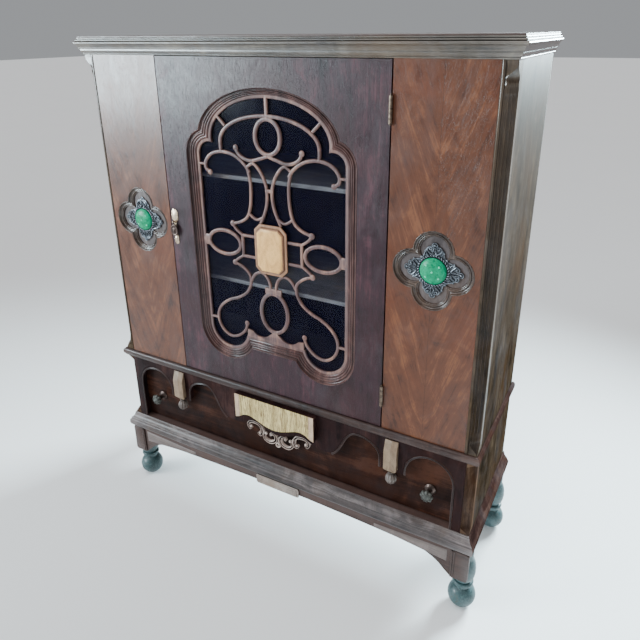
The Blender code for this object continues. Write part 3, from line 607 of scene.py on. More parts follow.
moulding("cornice", profile([(0.3, 2.8), (8.6, 2.8)], [(8.7, 2.9), (10, 3.6), (10.1, 5), (9, 6.2)],
    [(9, 6.6), (9.8, 6.8)], [(10.2, 6.9), (12.2, 7.6), (12.5, 9.2), (11.4, 10.5)],
    [(11.2, 10.9), (12.4, 11.1)], [(13, 11.1), (15.4, 11.9), (16.4, 13.6), (16.2, 15.4),
    (14.6, 17)], [(13.2, 17.4), (11.2, 19.4), (9.6, 22.6), (8.8, 26.4)],
    [(8.6, 27.2), (5.9, 27.6)], [(5.8, 28.2), (5.9, 31), (5, 34), (3.4, 35.8)],
    [(3.2, 36.4), (2.2, 36.7)], [(2.2, 37), (3, 38.2), (2.2, 39.6)], [(1.6, 40), (0.3, 40)]),
    front="cornice")
moulding("waist_moulding", profile([(0.3, 838.3), (3.6, 838.3)],
    [(4.2, 838.6), (6.6, 840), (8.3, 843.2), (8.6, 847.5), (8.2, 851.4), (7.2, 853.6)],
    [(5, 854.2), (4.8, 855)], [(4.8, 855.2), (4.6, 857.2), (3.8, 858.6)],
    [(0.6, 858.7), (0.3, 858.7)]))
moulding("base_moulding", profile([(0.3, 1057.3), (1.6, 1057.3)],
    [(1.9, 1057.4), (2.9, 1058.8), (2.5, 1060.4)], [(2.9, 1061), (3.4, 1061.2)],
    [(3.6, 1062), (4.6, 1066), (7.4, 1070.6), (12, 1074.8)], [(12.4, 1075.6), (12.4, 1078.4)],
    [(13, 1078.9), (15, 1080.8), (16.2, 1084.2), (16.4, 1089.5), (15.9, 1094.6), (14.2, 1098.6)],
    [(11.6, 1099.6), (10.4, 1100)], [(10.2, 1100.4), (9.9, 1102.4), (9, 1103.6)],
    [(0.6, 1103.7), (0.3, 1103.7)]), front="base")


# ---- corner posts

def ease(t):
    """From 0 to 1 with a soft start and end."""
    t = min(1, max(0, t))
    return t * t * (3 - 2 * t)


POST_BACK = 34


def post_section(side, drop, cant, flute, bead, inner):
    """One level of a corner post: bead, quirk, fluted cant, side and back."""
    flute_r, across = 0.115, 0.707
    points = [(inner, 0)]
    if bead is not None:
        for i in range(7):
            angle = pi * i / 6
            points.append((23.6 + 2.9 * cos(angle), -1.5 * bead * sin(angle)))
        points += [(20.4, 1.3 * bead), (20.1, 1.3 * bead)]
    steps = 30
    for i in range(steps + 1):
        s = i / steps
        scoop = 0
        for centre in (0.22, 0.5, 0.78):
            near = (s - centre) / flute_r
            if abs(near) < 1:
                scoop = 1.9 * flute * sqrt(1 - near * near)
        points.append((cant * (1 - s) + scoop * across, cant * s + scoop * across))
    points += [(0, POST_BACK), (inner, POST_BACK)]
    return [place(side * (HALF - u), v, drop) for u, v in points]


def series(start, gap, count):
    return [start + gap * i for i in range(count)]


def posts():
    """Corner posts: canted and fluted above the waist, canted below it."""
    for side, word in SIDES:
        shape = bmesh.new()
        rings = []
        for drop in ([18.4, 40, 46] + series(49, 3, 15) + series(92, 1.5, 6) + [110, 200, 300, 400,
                500, 600, 700, 770] + series(778, 1.5, 6) + series(791, 3, 15) + [837.7]):
            end = min(drop - 48, 836 - drop)
            cant = 1 + 19 * ease(end / 26) * (1 - 0.16 * exp(-((end - 30) / 6) ** 2))
            flute = ease((end - 45) / 8)
            bead = 1 if 40 < drop < 837 else 0
            rings.append(post_section(side, drop, cant, flute, bead, 27))
        skin(shape, rings)
        piece(f"post_upper_{word}", shape, "case_z", "case", f"corner_post_{word}", slot="walnut",
              sharp=38)
        shape = bmesh.new()
        rings = []
        for drop in ([837.9, 858.5, 860] + series(862, 2, 8) + [900, 960, 1020]
                     + series(1040, 2, 9) + [1057.5, 1103.6]):
            end = min(drop - 860, 1057 - drop)
            cant = 1 + 18.6 * ease(end / 15)
            rings.append(post_section(side, drop, cant, 0, None, 19.7))
        skin(shape, rings)
        filler = sided(side, [(480, 1057.5), (490.5, 1057.5), (490.5, 1062), (480, 1062)])
        slab(shape, [(0.1, filler), (POST_BACK, filler)])
        piece(f"post_lower_{word}", shape, "cant", "case", slot="walnut", sharp=38)


posts()


# ---- quatrefoils

MEDAL_X, MEDAL_DROP = abs(box_middle("front_panel_right").x) / MM, 436.5
LOBE_OFFSET = 41.5


def quatrefoil(radius, cx):
    """Outline of four overlapping lobes, rounded in where they meet."""
    t = (LOBE_OFFSET + sqrt(max(0, 2 * radius ** 2 - LOBE_OFFSET ** 2))) / 2
    reach = degrees(atan2(t, t - LOBE_OFFSET))
    points = []
    for turn in (0, 90, 180, 270):
        angle = radians(turn)
        lx = cx + LOBE_OFFSET * cos(angle)
        ly = MEDAL_DROP - LOBE_OFFSET * sin(angle)
        points += arc(lx, ly, radius, turn - reach, turn + reach, 22)[:-1]
    return points


def pocket(cx, word):
    """The moulded rim of a quatrefoil pocket, and the field that is its floor."""
    section = profile([(42.6, 0.4), (42, -0.4), (41.2, -0.3), (40.6, 0.6)], [(40.4, 1), (40, 2.9)],
        [(39.6, 3.8), (38.2, 5), (36.6, 5.2), (35.6, 4.6)],
        [(35.3, 4.2), (34.4, 3.6), (33.2, 3.9), (32.4, 5.2)], [(32.2, 6.2), (31.9, 6.4)],
        [(31.6, 6.2), (31, 6.1), (30.2, 6.8), (29.8, 8.2)], [(29.7, 8.6), (29.6, 9.1)],
        [(36, 9.2), (42.6, 9.2)])
    shape = bmesh.new()
    slab(shape, [(depth, quatrefoil(radius, cx)) for radius, depth in section], wrap=True)
    piece(f"quatrefoil_rim_{word}", shape, "cove", "case", slot="dark_walnut", sharp=50)
    shape = bmesh.new()
    slab(shape, [(depth, quatrefoil(29.5, cx)) for depth in (9.46, 9.26)])
    piece(f"quatrefoil_field_{word}", shape, "field", "case", slot="dark_walnut")


def filigree(cx, word):
    """Cast cross: a pierced-looking plate with scrolls, leaves and beads standing on it."""
    def at(turn, reach, across, depth):
        reach = min(reach, 33) + 0.86 * max(0, reach - 33)
        angle = radians(turn)
        x = cx + reach * cos(angle) - across * sin(angle)
        drop = MEDAL_DROP - reach * sin(angle) - across * cos(angle)
        return place(x, depth, drop)

    def shrunk(points, by):
        return [(cx + (x - cx) * by, MEDAL_DROP + (y - MEDAL_DROP) * by) for x, y in points]

    shape = bmesh.new()
    outline = []
    for i in range(96):
        angle = tau * i / 96
        radius = 35 + 18.5 * abs(cos(2 * angle)) ** 1.4 + 0.8 * cos(16 * angle)
        outline.append((cx + radius * cos(angle), MEDAL_DROP + radius * sin(angle)))
    slab(shape, [(9.2, outline), (8.4, outline), (7.9, shrunk(outline, 0.95))])
    edge = [place(x, 7.4, drop) for x, drop in shrunk(outline + outline[:1], 0.96)]
    rod(shape, edge, 1.5, 6)
    for turn in range(0, 360, 10):
        path = [at(turn, reach, across, depth) for reach, across, depth in
                ((29, -2, 7.2), (30.2, -0.8, 5.2), (32.2, 1, 5.2), (33.8, 2.4, 7.2))]
        rod(shape, path, [1, 1.7, 1.7, 0.9], 6)
    scroll = smooth([(34, 4), (38, 10), (45, 15), (51, 12.5), (52, 7.5), (48.5, 5), (45.5, 7.5),
                     (47, 10)], 3)
    leaf = smooth([(33, 13), (38, 17.5), (43, 18.5), (41, 15.5)], 3)
    vein = smooth([(34, 1.6), (40, 3.6), (46, 2.2), (52, 1.5)], 3)
    taper = [2 - 0.8 * k / len(scroll) for k in range(len(scroll))]
    for turn in (0, 90, 180, 270):
        grow = 1.06 if turn in (0, 180) else 1
        for hand in (-1, 1):
            for line, stretch, depth, radii in ((scroll, grow, 6.6, taper), (leaf, 1, 7.2, 1.4),
                    (vein, grow, 6.4, 1.1)):
                rod(shape, [at(turn, r * stretch, hand * t, depth) for r, t in line], radii, 6)
            ball(shape, at(turn, 47 * grow, hand * 10, 6.4), 2.3, 0.8, 10)
            ball(shape, at(turn, 40 * grow, hand * 19.5, 7.2), 2, 0.8, 10)
        loop = oval(56 * grow, 0, 5.4, 5.4, 20)
        rod(shape, [at(turn, r, t, 7) for r, t in loop + loop[:1]], 1.3, 6)
        ball(shape, at(turn, 56 * grow, 0, 6.6), 2.9, 0.8)
        ball(shape, at(turn + 45, 37, 0, 7), 2.6, 0.8)
    piece(f"filigree_{word}", shape, "pewter", "case", f"medallion_{word}", slot="pewter",
        sharp=60)


def stone(cx, word):
    """Domed green stone with five knots standing out of it, paler as a painted highlight."""
    foot, crown, spread = 6.1, 9.4, 28.2       # base's depth, dome's height and radius

    def dome(r):
        return crown * sqrt(1 - (r / spread) ** 2)

    radii = (0.6, 2, 3.4, 5, 7, 9, 11, 12.6, 14, 15.4, 16.8, 18.2, 19.6, 21, 22.6, 24.2, 25.6,
             26.6, 27.3, 27.6)
    levels = [(r, foot - dome(r) - 0.4) for r in radii] + [(radii[-1], foot)]
    shape = bmesh.new()
    slab(shape, [(depth, oval(cx, MEDAL_DROP, r, -r, 56)) for r, depth in levels])
    made = len(shape.faces)
    for reach, turn in ((0, 0), (18, 42), (18, 138), (18, 222), (18, 318)):
        x, z = reach * cos(radians(turn)), reach * sin(radians(turn))
        ball(shape, place(cx + x, foot - dome(reach) + 0.5, MEDAL_DROP - z), 2.6, 0.8)
    # the knots take the pale jade: a painted highlight
    second_look(shape, made)
    piece(f"stone_{word}", shape, "jade", "case", f"cabochon_{word}", slot="green_stone", sharp=60,
          second="jade_highlight")


for side_sign, side_word in SIDES:
    pocket(side_sign * MEDAL_X, side_word)
    filigree(side_sign * MEDAL_X, side_word)
    stone(side_sign * MEDAL_X, side_word)


# ---- window

MOULD_W = 24
ARCH_DROP, ARCH_HALF, ARCH_RISE = 213, 182, 112.4
SHOULDER, LOBE, SILL = (159, 252), (135, 686), 727.6


def window(inset):
    """The window's outline, INSET inside its outer edge."""
    a = ARCH_HALF - inset
    b = ARCH_RISE - 15 * min(inset, MOULD_W) / MOULD_W - max(0, inset - MOULD_W)
    shoulder_r, lobe_r = 60 - inset, 84 - inset
    low, high = radians(-20), radians(60)
    for _ in range(40):
        angle = (low + high) / 2
        x, drop = a * cos(angle), ARCH_DROP - b * sin(angle)
        outside = hypot(x - SHOULDER[0], drop - SHOULDER[1]) > shoulder_r
        low, high = (low, angle) if outside else (angle, high)
    notch = degrees(atan2(SHOULDER[1] - drop, x - SHOULDER[0]))
    half = [(a * sin(t), ARCH_DROP - b * cos(t))
            for t in [(pi / 2 - angle) * i / 26 for i in range(26)]]
    half += arc(*SHOULDER, shoulder_r, notch, 0, 14)
    sill = SILL - inset
    meet = -180 + degrees(asin((sill - LOBE[1]) / lobe_r))
    half += arc(*LOBE, lobe_r, 0, meet, 26)
    return half + sided(-1, half[1:])[::-1]


def window_rim():
    """The moulding planted round the window."""
    section = profile([(0.3, 0.5), (0.9, -0.3), (1.7, -0.2), (2.4, 0.7)], [(2.6, 1), (3, 3.2)],
        [(3.4, 4), (4.8, 4.9), (6.6, 5.1), (7.8, 4.4)],
        [(8.1, 3.9), (9.2, 3), (10.8, 3.1), (12, 4.4)], [(12.2, 5.4), (12.7, 5.7)],
        [(12.9, 5.4), (14.2, 4.6), (15.9, 4.8), (17.2, 6.1)], [(17.4, 6.9), (18, 7.1)],
        [(18.3, 6.8), (20, 6.3), (22.2, 6.8), (24, 8.3)], [(24, 8.7), (12, 8.7)],
        [(0.8, 8.7), (0.3, 8.7)])
    shape = bmesh.new()
    slab(shape, [(depth, window(inset)) for inset, depth in section], wrap=True)
    piece("window_rim", shape, "rim", "door", "window_moulding", slot="dark_walnut", sharp=50)


FRET_FRONT, FRET_BACK = 9, 13.9
# right-hand strips: width, then points from end to end
FRET_LINES = [
    (8.5, [(127, 220), (127, 232), (126, 244)]),
    (8, [(134, 162), (123, 173), (111, 185)]),
    (9, [(0, 244), (22, 251), (45, 257), (66, 253), (80, 243), (84, 233)]),
    (9, [(52, 284), (60, 271), (76, 257), (96, 247), (122, 243), (146, 247), (163, 257),
        (173, 272), (172, 285), (163, 292)]),
    (6.5, [(171, 275), (182, 275), (194, 275)]),
    (8, [(57, 272), (40, 263), (22, 280), (10, 305), (6.5, 330), (11, 362), (27, 399)]),
    (8, [(57, 274), (51, 300), (50, 330), (53, 360), (62, 386), (80, 401), (105, 409)]),
    (7, [(19, 383), (38, 391), (58, 379)]),
    (7.5, [(105, 409), (98, 421), (80, 434)]),
    (8, [(30, 434), (56, 434), (83, 434)]),
    (8.5, [(80, 431), (80, 460), (80, 488)]),
    (8, [(30, 485), (56, 485), (83, 485)]),
    (7.5, [(80, 485), (98, 497), (105, 505)]),
    (8, [(105, 506), (82, 516), (65, 532), (63, 548), (66, 562), (79, 582), (102, 598), (128, 609),
        (150, 624), (165, 643), (170, 664), (166, 684), (153, 702), (134, 711), (114, 707),
        (97, 695), (86, 681), (82, 666)]),
    (8, [(8, 562), (9, 545), (18, 527), (34, 520), (50, 528), (61, 545)]),
    (7.5, [(168, 667), (181, 667), (194, 667)]),
]
FRET_SLIM = 0.86             # how much of its CAD width a strip has
# rings: centre, half width, half height, strip's width
FRET_RINGS = [(0, 203, 32, 38, 10.5), (0, 620, 37, 51, 10.5), (133, MIDLINE, 45.5, 29.5, 10),
              (-133, MIDLINE, 45.5, 29.5, 10)]
FRET_BALLS = [(85, 231, 6.8), (161, 293, 6.6), (106, 409, 7.4), (106, 506, 7.4), (82, 664, 6.6)]


def fretwork():
    """Sawn strips with softened faces, each a hair deeper than the last where they cross."""
    shape = bmesh.new()
    depth = FRET_FRONT

    def lay(line, width, loop=False):
        nonlocal depth
        depth = FRET_FRONT + (depth - FRET_FRONT + 0.043) % 0.35
        strip(shape, line, width, depth, FRET_BACK, loop=loop)

    rim = profile([(8, FRET_BACK), (8, 9)], [(29.4, 9), (30.3, 9.3), (30.9, 10), (31, 11)],
        [(31, 13.2), (31, FRET_BACK)])
    slab(shape, [(level, window(inset)) for inset, level in rim], wrap=True)
    lay([(127 * cos(radians(a)), 221 - 62 * sin(radians(a)))
         for a in range(0, 181, 5)], 7.8)
    lay([(0, 112), (0, 138), (0, 165)], 7.8)
    for cx, cy, a, b, width in FRET_RINGS:
        lay(oval(cx, cy, a, b, 44), width * 0.88, loop=True)
    lay([(-10, 321), (0, 321), (10, 321)], 8.5)
    lay([(-22, 564), (0, 564), (22, 564)], 16)
    edge = [(0, 668)] + arc(40, 660, 32, -135, -40, 14) + [(80, 678), (80, 700), (74, 706),
        (0, 706)]
    foot = edge + sided(-1, edge[1:-1])[::-1]
    eased = [(x * 0.985, 0.4 + y * 0.9995) for x, y in foot]
    slab(shape, [(FRET_BACK, foot), (9.32, foot), (9.02, eased)])
    for side in (1, -1):
        for width, line in FRET_LINES:
            lay(sided(side, smooth(line, 5)), width * FRET_SLIM)
        for x, drop, radius in FRET_BALLS:
            ball(shape, place(side * x, 11.2, drop), radius, 0.42, 18)
        lay(sided(side, [(176, MIDLINE), (185.5, MIDLINE), (195, MIDLINE)]), 27)
    piece("fret_strips", shape, "fret", "door", "fretwork", slot="fret_wood", sharp=40)


def plaque():
    """Octagonal block over the fretwork's middle: depth, half width, half height, cut corner."""
    steps = ((8.7, 43.5, 60.5, 15), (7, 43.5, 60.5, 15), (6, 42.8, 59.8, 14.8),
             (5.7, 41.2, 58.2, 14.2), (5.7, 37.8, 54.8, 13), (6.1, 37.2, 54.2, 12.8),
             (6.1, 36.4, 53.4, 12.5), (3.2, 35.6, 52.6, 12.2), (1.4, 33.4, 50.4, 11.4),
             (0.4, 29.8, 46.8, 10.2), (0.1, 28.6, 45.6, 9.8), (0, 27.2, 44.2, 9.4))
    shape = bmesh.new()
    slab(shape, [(depth, octagon(0, 459, w, h, cut)) for depth, w, h, cut in steps])
    for face in shape.faces:
        middle = face.calc_center_median()
        face.material_index = 0 if middle.y < FACE + 1.2 * MM else 1
    piece("plaque_block", shape, "plaque", "door", "fret_plaque", slot="cream_gilt", sharp=24,
          second="plaque_rim")


window_rim()
fretwork()
plaque()


# ---- door pull

def pull():
    """Backplate with two bosses and an eye, and the drop that hangs from its pin."""
    cx = box_middle("pull_backplate").x / MM
    pin_depth, pin = -7.5, 425
    shape = bmesh.new()
    for drop, half_w, half_h in ((409, 10, 16), (470, 6.5, 13)):
        slab(shape, [(depth, octagon(cx, drop, half_w * k, half_h * k, half_w * k * 0.66))
            for depth, k in ((-0.3, 1), (-1.2, 1), (-1.9, 0.9), (-2.1, 0.72), (-3.4, 0.4),
            (-4, 0.12))])
        for turn in (0, 90, 180, 270):
            angle = radians(turn)
            ball(shape, place(cx + half_w * 0.86 * cos(angle), -1.6,
                              drop + half_h * 0.9 * sin(angle)), 1.7, 0.8, 10)
    strip(shape, [(cx, 420), (cx, 440), (cx, 462)], 7, -2, -0.4)
    for side in (-1, 1):
        path = [place(cx + side * 3.5, depth, pin) for depth in (-1.2, -4, -7.5, -9.2)]
        rod(shape, path, [2.4, 1.7, 1.5, 0.6], 10)
    rod(shape, [place(cx + dx, pin_depth, pin) for dx in (-4.9, -4.6, 4.6, 4.9)],
        [0.8, 1.2, 1.2, 0.8], 10)
    piece("pull_plate", shape, "brass", "door", "pull_backplate", slot="brass", sharp=40)

    shape = bmesh.new()
    centre = place(cx, pin_depth, 446)
    dish = [(0.3, 2), (3, 1.9), (6, 1.2), (8.6, 0.5), (10.4, 0.9), (12.2, 1.5), (13.8, 1.4),
        (15.2, 0.6), (15.4, -0.2), (14.4, -1), (0.3, -1.3)]
    lathe(shape, dish, centre, 40, forward=True, squash=0.71)
    rod(shape, [place(cx, pin_depth, pin + dy) for dy in (2.4, 4, 6.5)], [1.5, 1.3, 2.6], 10)
    eye = oval(pin, pin_depth, 2.35, 2.35, 18)
    rod(shape, [place(cx, depth, drop) for drop, depth in eye + eye[:1]], 0.85)
    ball(shape, place(cx, -8.6, 446), 3.4, 0.6, 14)
    piece("pull_drop", shape, "bronze", "pull", "drop_pull", slot="brass", sharp=50)


pull()


# ---- drawer

def shifted(line, by):
    """The line moved sideways, to its right as it runs."""
    made = []
    for i, (x, y) in enumerate(line):
        ax, ay = line[max(i - 1, 0)]
        bx, by_ = line[min(i + 1, len(line) - 1)]
        size = hypot(bx - ax, by_ - ay) or 1
        made.append((x + (by_ - ay) / size * by, y - (bx - ax) / size * by))
    return made


def beads():
    """Beads that follow the sawn edge of the arched front: its end arch, then its inner curve."""
    outer = [(468, 1056.2), (468, 1000)] + arc(406.5, 938, 61.5, 0, 180, 36) + [(345, 949.6)]
    inner = ([(290, 949.6)] + bezier([(290, 925), (289, 895), (262, 876), (228, 876)], 18)
             + bezier([(228, 876), (182, 876), (188, 962), (140, 962)], 22)[1:-3])
    ridges = [(-1, 1), (-1, 0.55), (-0.72, 0.08), (-0.42, 0.5), (-0.3, 0.62), (0, 0),
              (0.4, 0), (0.72, 0.25), (1, 0.7), (1, 1)]
    for side, word in SIDES:
        shape = bmesh.new()
        for line in (outer, inner):
            strip(shape, sided(side, shifted(line, 4.2)), 5, -1.5, -0.05, ridges)
        piece(f"arch_bead_{word}", shape, "bead", "drawer", slot="dark_walnut", sharp=40)


def knob(word):
    """Reeded knob with a beaded boss on its face."""
    origin = box_middle(f"drawer_knob_{word}")
    origin.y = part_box(f"drawer_knob_{word}")[1].y
    shape = bmesh.new()
    lathe(shape, [(0.5, 36.7), (3.2, 36.4), (4.2, 35.4), (5.2, 35.2)], origin, 48, forward=True)
    lathe(shape, [(2, 35.8), (6, 35.4), (10.5, 33.6), (14.2, 30.9), (16, 28), (15.6, 25.6),
        (12.6, 23), (8.5, 21.2), (6.2, 18), (5.2, 12), (5.4, 8), (7.4, 5.4)], origin, 64,
        forward=True, lobes=8, depth=0.2)
    lathe(shape, [(7, 6.4), (10.4, 5), (12, 3.2), (13.4, 2.6), (14, 1.2), (13.8, 0)], origin, 48,
          forward=True)
    for k in range(8):
        angle = tau * (k + 0.5) / 8
        bead = Vector((9.6 * cos(angle), -34.2, 9.6 * sin(angle))) * MM
        ball(shape, origin + bead, 1.9, 0.8, 8)
    for face in shape.faces:
        if face.calc_center_median().y > origin.y - 21 * MM:
            face.material_index = 1
    piece(f"knob_{word}", shape, "knob", "drawer", f"drawer_knob_{word}", slot="pewter", sharp=60,
          second="bronze")


def drop_ornament(side, word):
    """Gilt wedge with a ridge down its front, over a small reeded melon."""
    cx = side * 316
    shape = bmesh.new()
    rings = []
    for drop, arris, half in ((864, -2.9, 16), (865, -3.5, 16), (887, -11.6, 16), (888.4, -12, 16),
            (940, -12, 16), (941.4, -11.8, 15.6), (950.8, -5, 9)):
        right = [(0.9, arris + 0.3), (half - 0.8, min(-2.8, arris + 0.2)),
                 (half, min(-2.2, arris + 0.4)), (half, -0.3)]
        rings.append([place(cx + u, v, drop)
                      for u, v in sided(-1, right[::-1]) + [(0, arris)] + right])
    skin(shape, rings)
    made = len(shape.faces)
    lathe(shape, [(5, 10.5), (5.2, 8.5), (7.6, 7.6), (7.9, 6.6), (5.4, 5.6), (4.6, 3.4)],
          place(cx, 1.5, 960), 32)
    outline = [(14 * cos(radians(a)), -12 + 14.4 * sin(radians(a)))
               for a in range(80, -81, -10)]
    lathe(shape, [(2, 3.4)] + outline + [(2.2, -26.6)], place(cx, 1.5, 960), 72, lobes=10,
        depth=0.13)
    second_look(shape, made)
    piece(f"pendant_{word}", shape, "drop", "drawer", f"drop_ornament_{word}", slot="cream_gilt",
          sharp=24, second="melon")


def reeded_panel():
    """Cream panel: fine upright reeds between flat margins, cut to a waved lower edge."""
    half, face, reed_w, reeded = 117, -16.5, 3.45, 103.6
    right = [(20, 936.5), (40, 930), (60, 922), (78, 918.5), (92, 921.5), (105, 929.5),
        (half, 934)]
    wave = smooth(sided(-1, right[::-1]) + [(0, 939)] + right, 6)

    def edge(x):
        for (ax, ay), (bx, by) in zip(wave, wave[1:]):
            if ax <= x <= bx:
                return ay + (by - ay) * (x - ax) / (bx - ax)
        return wave[-1][1]

    rings = []
    for k in range(401):
        x = 2 * half * k / 400 - half
        inside = reeded - abs(x)
        sunk = 0
        if inside > 0:
            phase = (x / reed_w) % 1
            sunk = 1.3 * (1 - sqrt(max(0, 1 - (2 * phase - 1) ** 2))) + 0.2
        elif inside > -1.2:
            sunk = 0.9
        drop = edge(x)
        rings.append([place(x, depth, level) for depth, level in (
            (-15.9 + sunk * 0.3, 863.2), (face + sunk, 863.9), (face + sunk, 880),
            (face + sunk, drop - 1.2), (-15.9 + sunk * 0.3, drop - 0.3), (-15, drop),
            (-0.4, drop), (-0.4, 863.2), (-15, 863.2))])
    shape = bmesh.new()
    skin(shape, rings)
    shape.normal_update()
    for side in shape.faces:
        if len(side.verts) > 4 or any(v.co.y >= FACE - 14 * MM for v in side.verts):
            side.material_index = 1
        elif abs(side.calc_center_median().x) > 103 * MM:
            side.material_index = 2
    made = piece("cream_panel", shape, "cream", "drawer", "reeded_panel", slot="cream_gilt",
                 sharp=60, second="facade")
    made.data.materials.append(MATERIALS["cream_edge"])


def carving():
    """The scroll under the cream panel: two grooved strips and a leaf a side, and a curl."""
    back = 9
    whorl = smooth([(37, 972), (40.5, 976), (43.5, 985), (39, 992), (31, 996), (22, 995.8),
                    (13, 992), (7.5, 985), (6.5, 977), (9, 970.5), (15, 967.2), (20.5, 968.5),
                    (23.5, 972.5), (21, 975.5)], 4)
    arch = smooth([(82, 969), (86, 973), (91, 969), (92.5, 961), (88, 953.5), (79, 949.8),
                   (68, 949.6), (58, 952.5), (51.5, 959), (49.2, 968), (50, 977), (54, 984),
                   (60, 981), (58, 976.5)], 4)
    leaf = smooth([(47, 984), (44, 975), (45, 966), (50, 962)], 4)
    shape = bmesh.new()
    for side in (1, -1):
        for line, width in ((whorl, 7.4), (arch, 7.2)):
            last = len(line) - 1
            widths = [width * (0.62 + 0.5 * sin(pi * k / last)) for k in range(last + 1)]
            before = len(shape.faces) + 2
            strip(shape, sided(side, line), widths, 0.9, back, GROOVED)
            # groove faces take the dark facade walnut: painted shade in the grooves
            for k, face in enumerate(list(shape.faces)[before:]):
                face.material_index = 1 if k % len(GROOVED) in (4, 5, 6) else 0
        for x, drop, radius in ((83.5, 966.5, 4), (56.5, 978.5, 3.8), (37, 972.5, 4.2),
                                (21.5, 972.5, 3.4)):
            ball(shape, place(side * x, 4.2, drop), radius, 0.85, 16)
        last = len(leaf) - 1
        strip(shape, sided(side, leaf),
              [2 + 3 * sin(pi * k / last) for k in range(last + 1)], 2.4, back)
    strip(shape, [(0, 974), (0, 982), (0, 990)], [2.4, 3, 3.6], 3.4, back)
    strip(shape, oval(0, 996.6, 6.2, 6.2, 24), 3.2, 1.6, back, loop=True)
    ball(shape, place(0, 5.6, 996.6), 3, 0.8, 16)
    piece("scrolls", shape, "scroll", "drawer", "scroll_carving", slot="cream_gilt", sharp=40,
          second="facade")


beads()
for side_sign, side_word in SIDES:
    knob(side_word)
    drop_ornament(side_sign, side_word)
reeded_panel()
carving()


# ---- base

def apron():
    """Shaped front apron with its corner brackets, overlays and centre block."""
    edge = smooth([(0, 1126), (70, 1126.5), (160, 1128.4), (250, 1131), (340, 1134.6),
                   (400, 1139.5), (425, 1147), (446, 1160), (462, 1175), (478, 1189)], 6)
    half = edge + [(504, 1189), (510, 1186), (517.4, 1180), (517.4, 1104)]
    outline = half + sided(-1, half[1:])[::-1]
    inner = [(x * 0.9985, y - 0.9 if y > 1110 else y + 0.1) for x, y in outline]
    shape = bmesh.new()
    slab(shape, [(-2.4, outline), (-7.4, outline), (-8.1, inner)])
    for side, _ in SIDES:
        bracket, smaller = (octagon(side * 496.5, 1146, 20.3 - less, 41.5 - less, 4)
                            for less in (0, 1))
        slab(shape, [(-7.6, bracket), (-10, bracket), (-10.8, smaller)])
    piece("apron_front_board", shape, "case_x", "case", "apron_front", slot="walnut", sharp=30)
    shape = bmesh.new()
    for side, _ in SIDES:
        for x in (477.4, 482.2):
            strip(shape, sided(side, [(x, 1106), (x, 1140), (x, 1184)]), 3.6, -12.3, -9)
    second_look(shape)
    for side, _ in SIDES:
        wedge = sided(side, [(280, 1117.5), (465, 1110.5), (465, 1145), (280, 1127.5)])
        top = sided(side, [(288, 1119.2), (461, 1113.4), (461, 1141), (288, 1126)])
        slab(shape, [(-7.9, wedge), (-8.7, wedge), (-10.6, top)])
    piece("apron_overlays", shape, "overlay", "case", slot="walnut", sharp=24, second="case_x")
    shape = bmesh.new()
    slab(shape, [(depth, octagon(0, 1119, w, h, 3)) for depth, w,
        h in ((-8.9, 66, 13.4), (-11.2, 66, 13.4), (-12.2, 65, 12.6), (-12.6, 62, 10.6),
        (-14.4, 60, 8.6))])
    for x in (54.5, 49.5, -54.5, -49.5):
        strip(shape, [(x, 1111.5), (x, 1119), (x, 1126.5)], 2.6, -15.4, -13.6)
    piece("apron_centre", shape, "pale", "case", "apron_block", slot="cream_gilt", sharp=24)


def feet():
    """Four turned feet, each a vase over a ball, by radius and height from the floor."""
    outline = ([(2, 187.8), (19.8, 187.8), (19.8, 160), (19.4, 152),
        (20.4, 146)] + smooth([(20.4, 146), (23.6, 139), (26.8, 128), (28, 113.5), (27, 99),
        (23.6, 87), (19.6, 80.6)], 4)[1:] + smooth([(19.4, 79.6), (23.2, 78.4), (25, 75.2),
        (25, 71.4), (23.2, 68.2), (19.2, 67.2)], 3) + [(18.2, 66),
        (17.6, 63.4)] + [(33 * cos(radians(a)), 32 + 33 * sin(radians(a))) for a in range(56, -65,
        -6)] + [(10, 0.6), (8, 0), (1, 0)])
    for end in ("front", "rear"):
        for _, word in SIDES:
            origin = box_middle(f"foot_{end}_{word}")
            origin.z = 0
            shape = bmesh.new()
            lathe(shape, outline, origin, 56)
            piece(f"turned_foot_{end}_{word}", shape, "feet", "case", f"foot_{end}_{word}",
                  slot="painted_feet", sharp=40)


def shelf_lips():
    """Rounded edges along the shelves' fronts, paler than the shelves as a painted highlight."""
    for word in ("upper", "lower"):
        low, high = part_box(f"shelf_{word}")
        top, bottom = (TOP - high.z) / MM, (TOP - low.z) / MM
        shape = bmesh.new()
        section = [(49.8, top), (48.6, top), (47.6, top + 1), (47.2, top + 3), (47.2, bottom - 3),
                   (47.6, bottom - 1), (48.6, bottom), (49.8, bottom)]
        skin(shape, [[place(x, d, drop) for d, drop in section] for x in (-489, -300, -100, 100,
            300, 489)])
        piece(f"shelf_lip_{word}", shape, "lip", "case", slot="inner_wood", sharp=40)


apron()
feet()
shelf_lips()


# ---- stage

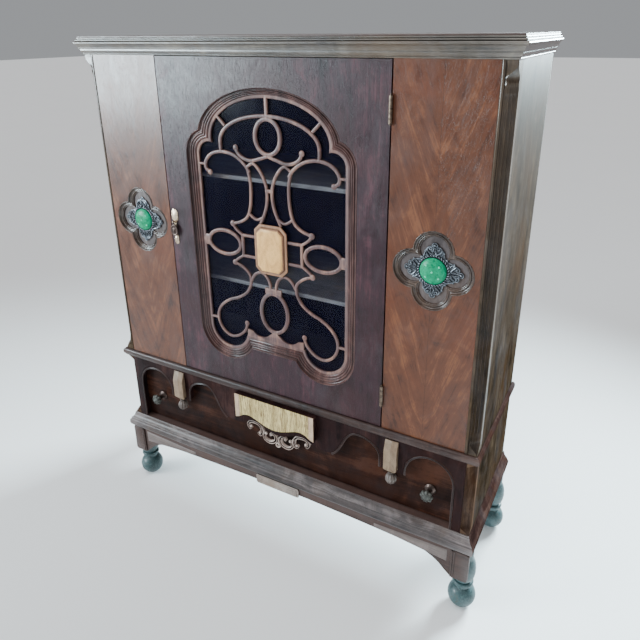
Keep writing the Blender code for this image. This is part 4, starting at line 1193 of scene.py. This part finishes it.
def camera():
    """The viewpoint: right of centre, a little above the top, looking down."""
    yaw, pitch, roll = radians(29.19), radians(21.7), radians(-0.652)
    across = Vector((cos(yaw), sin(yaw), 0))
    ahead = Vector((-sin(yaw), cos(yaw), 0))
    up = Vector((0, 0, 1))
    look = ahead * cos(pitch) - up * sin(pitch)
    rise = up * cos(pitch) + ahead * sin(pitch)
    right = across * cos(roll) + rise * sin(roll)
    rise = rise * cos(roll) - across * sin(roll)
    made = linked("Camera", bpy.data.cameras.new("Camera"))
    made.data.sensor_width = 36
    made.data.lens = 33.63
    made.data.shift_x = 0.0017
    made.data.shift_y = -0.0811
    made.data.clip_start = 0.02
    turn = Matrix((right, rise, -look)).transposed().to_4x4()
    made.matrix_world = Matrix.Translation(place(720.9, -1059.3, -7.9)) @ turn
    bpy.context.scene.camera = made


def light(name, spot, aim, size, power, colour, spread=180):
    """A soft rectangular light at SPOT, in metres, turned to AIM."""
    made = linked(name, bpy.data.lights.new(name, "AREA"))
    made.data.shape = "RECTANGLE"
    made.data.size, made.data.size_y = size
    made.data.energy = power
    made.data.spread = radians(spread)
    made.data.color = colour
    made.location = spot
    made.rotation_euler = (Vector(aim) - Vector(spot)).to_track_quat("-Z", "Y").to_euler()


def stage():
    """Pale floor, soft sky, two windows beside the cabinet, a weak fill and a wide sun."""
    world = bpy.data.worlds.new("studio")
    world.use_nodes = True
    sky = world.node_tree.nodes["Background"].inputs
    sky[0].default_value = (0.93, 0.96, 1, 1)
    sky[1].default_value = 0.36
    bpy.context.scene.world = world
    shape = bmesh.new()
    bmesh.ops.create_grid(shape, x_segments=1, y_segments=1, size=30.0)
    mesh = bpy.data.meshes.new("studio_floor")
    shape.to_mesh(mesh)
    shape.free()
    floor = linked("studio_floor", mesh)
    look = Look("studio_floor")
    mottle = look.noise(look.coords(), 1.2, 3)
    look.set(Base_Color=look.mix(mottle, (0.86, 0.865, 0.87), (0.9, 0.9, 0.9)), Roughness=0.6)
    mesh.materials.append(look.material)
    light("window_left", (-2.95, -2.55, 1.4), (-0.35, -0.1, 1.35), (1.6, 1.3), 62,
          (0.78, 0.93, 1), 75)
    light("window_rear", (1.25, 2.5, 1.8), (0.5, 0, 1.25), (1.3, 0.9), 200,
          (0.74, 0.93, 1), 85)
    light("fill_right", (2.4, -2.8, 1.7), (0, 0, 0.6), (1.6, 1.6), 9, (1, 0.97, 0.93))
    sun = linked("overhead", bpy.data.lights.new("overhead", "SUN"))
    sun.data.energy = 2
    sun.data.angle = radians(50)
    sun.rotation_euler = (radians(18), radians(-12), 0)


camera()
stage()
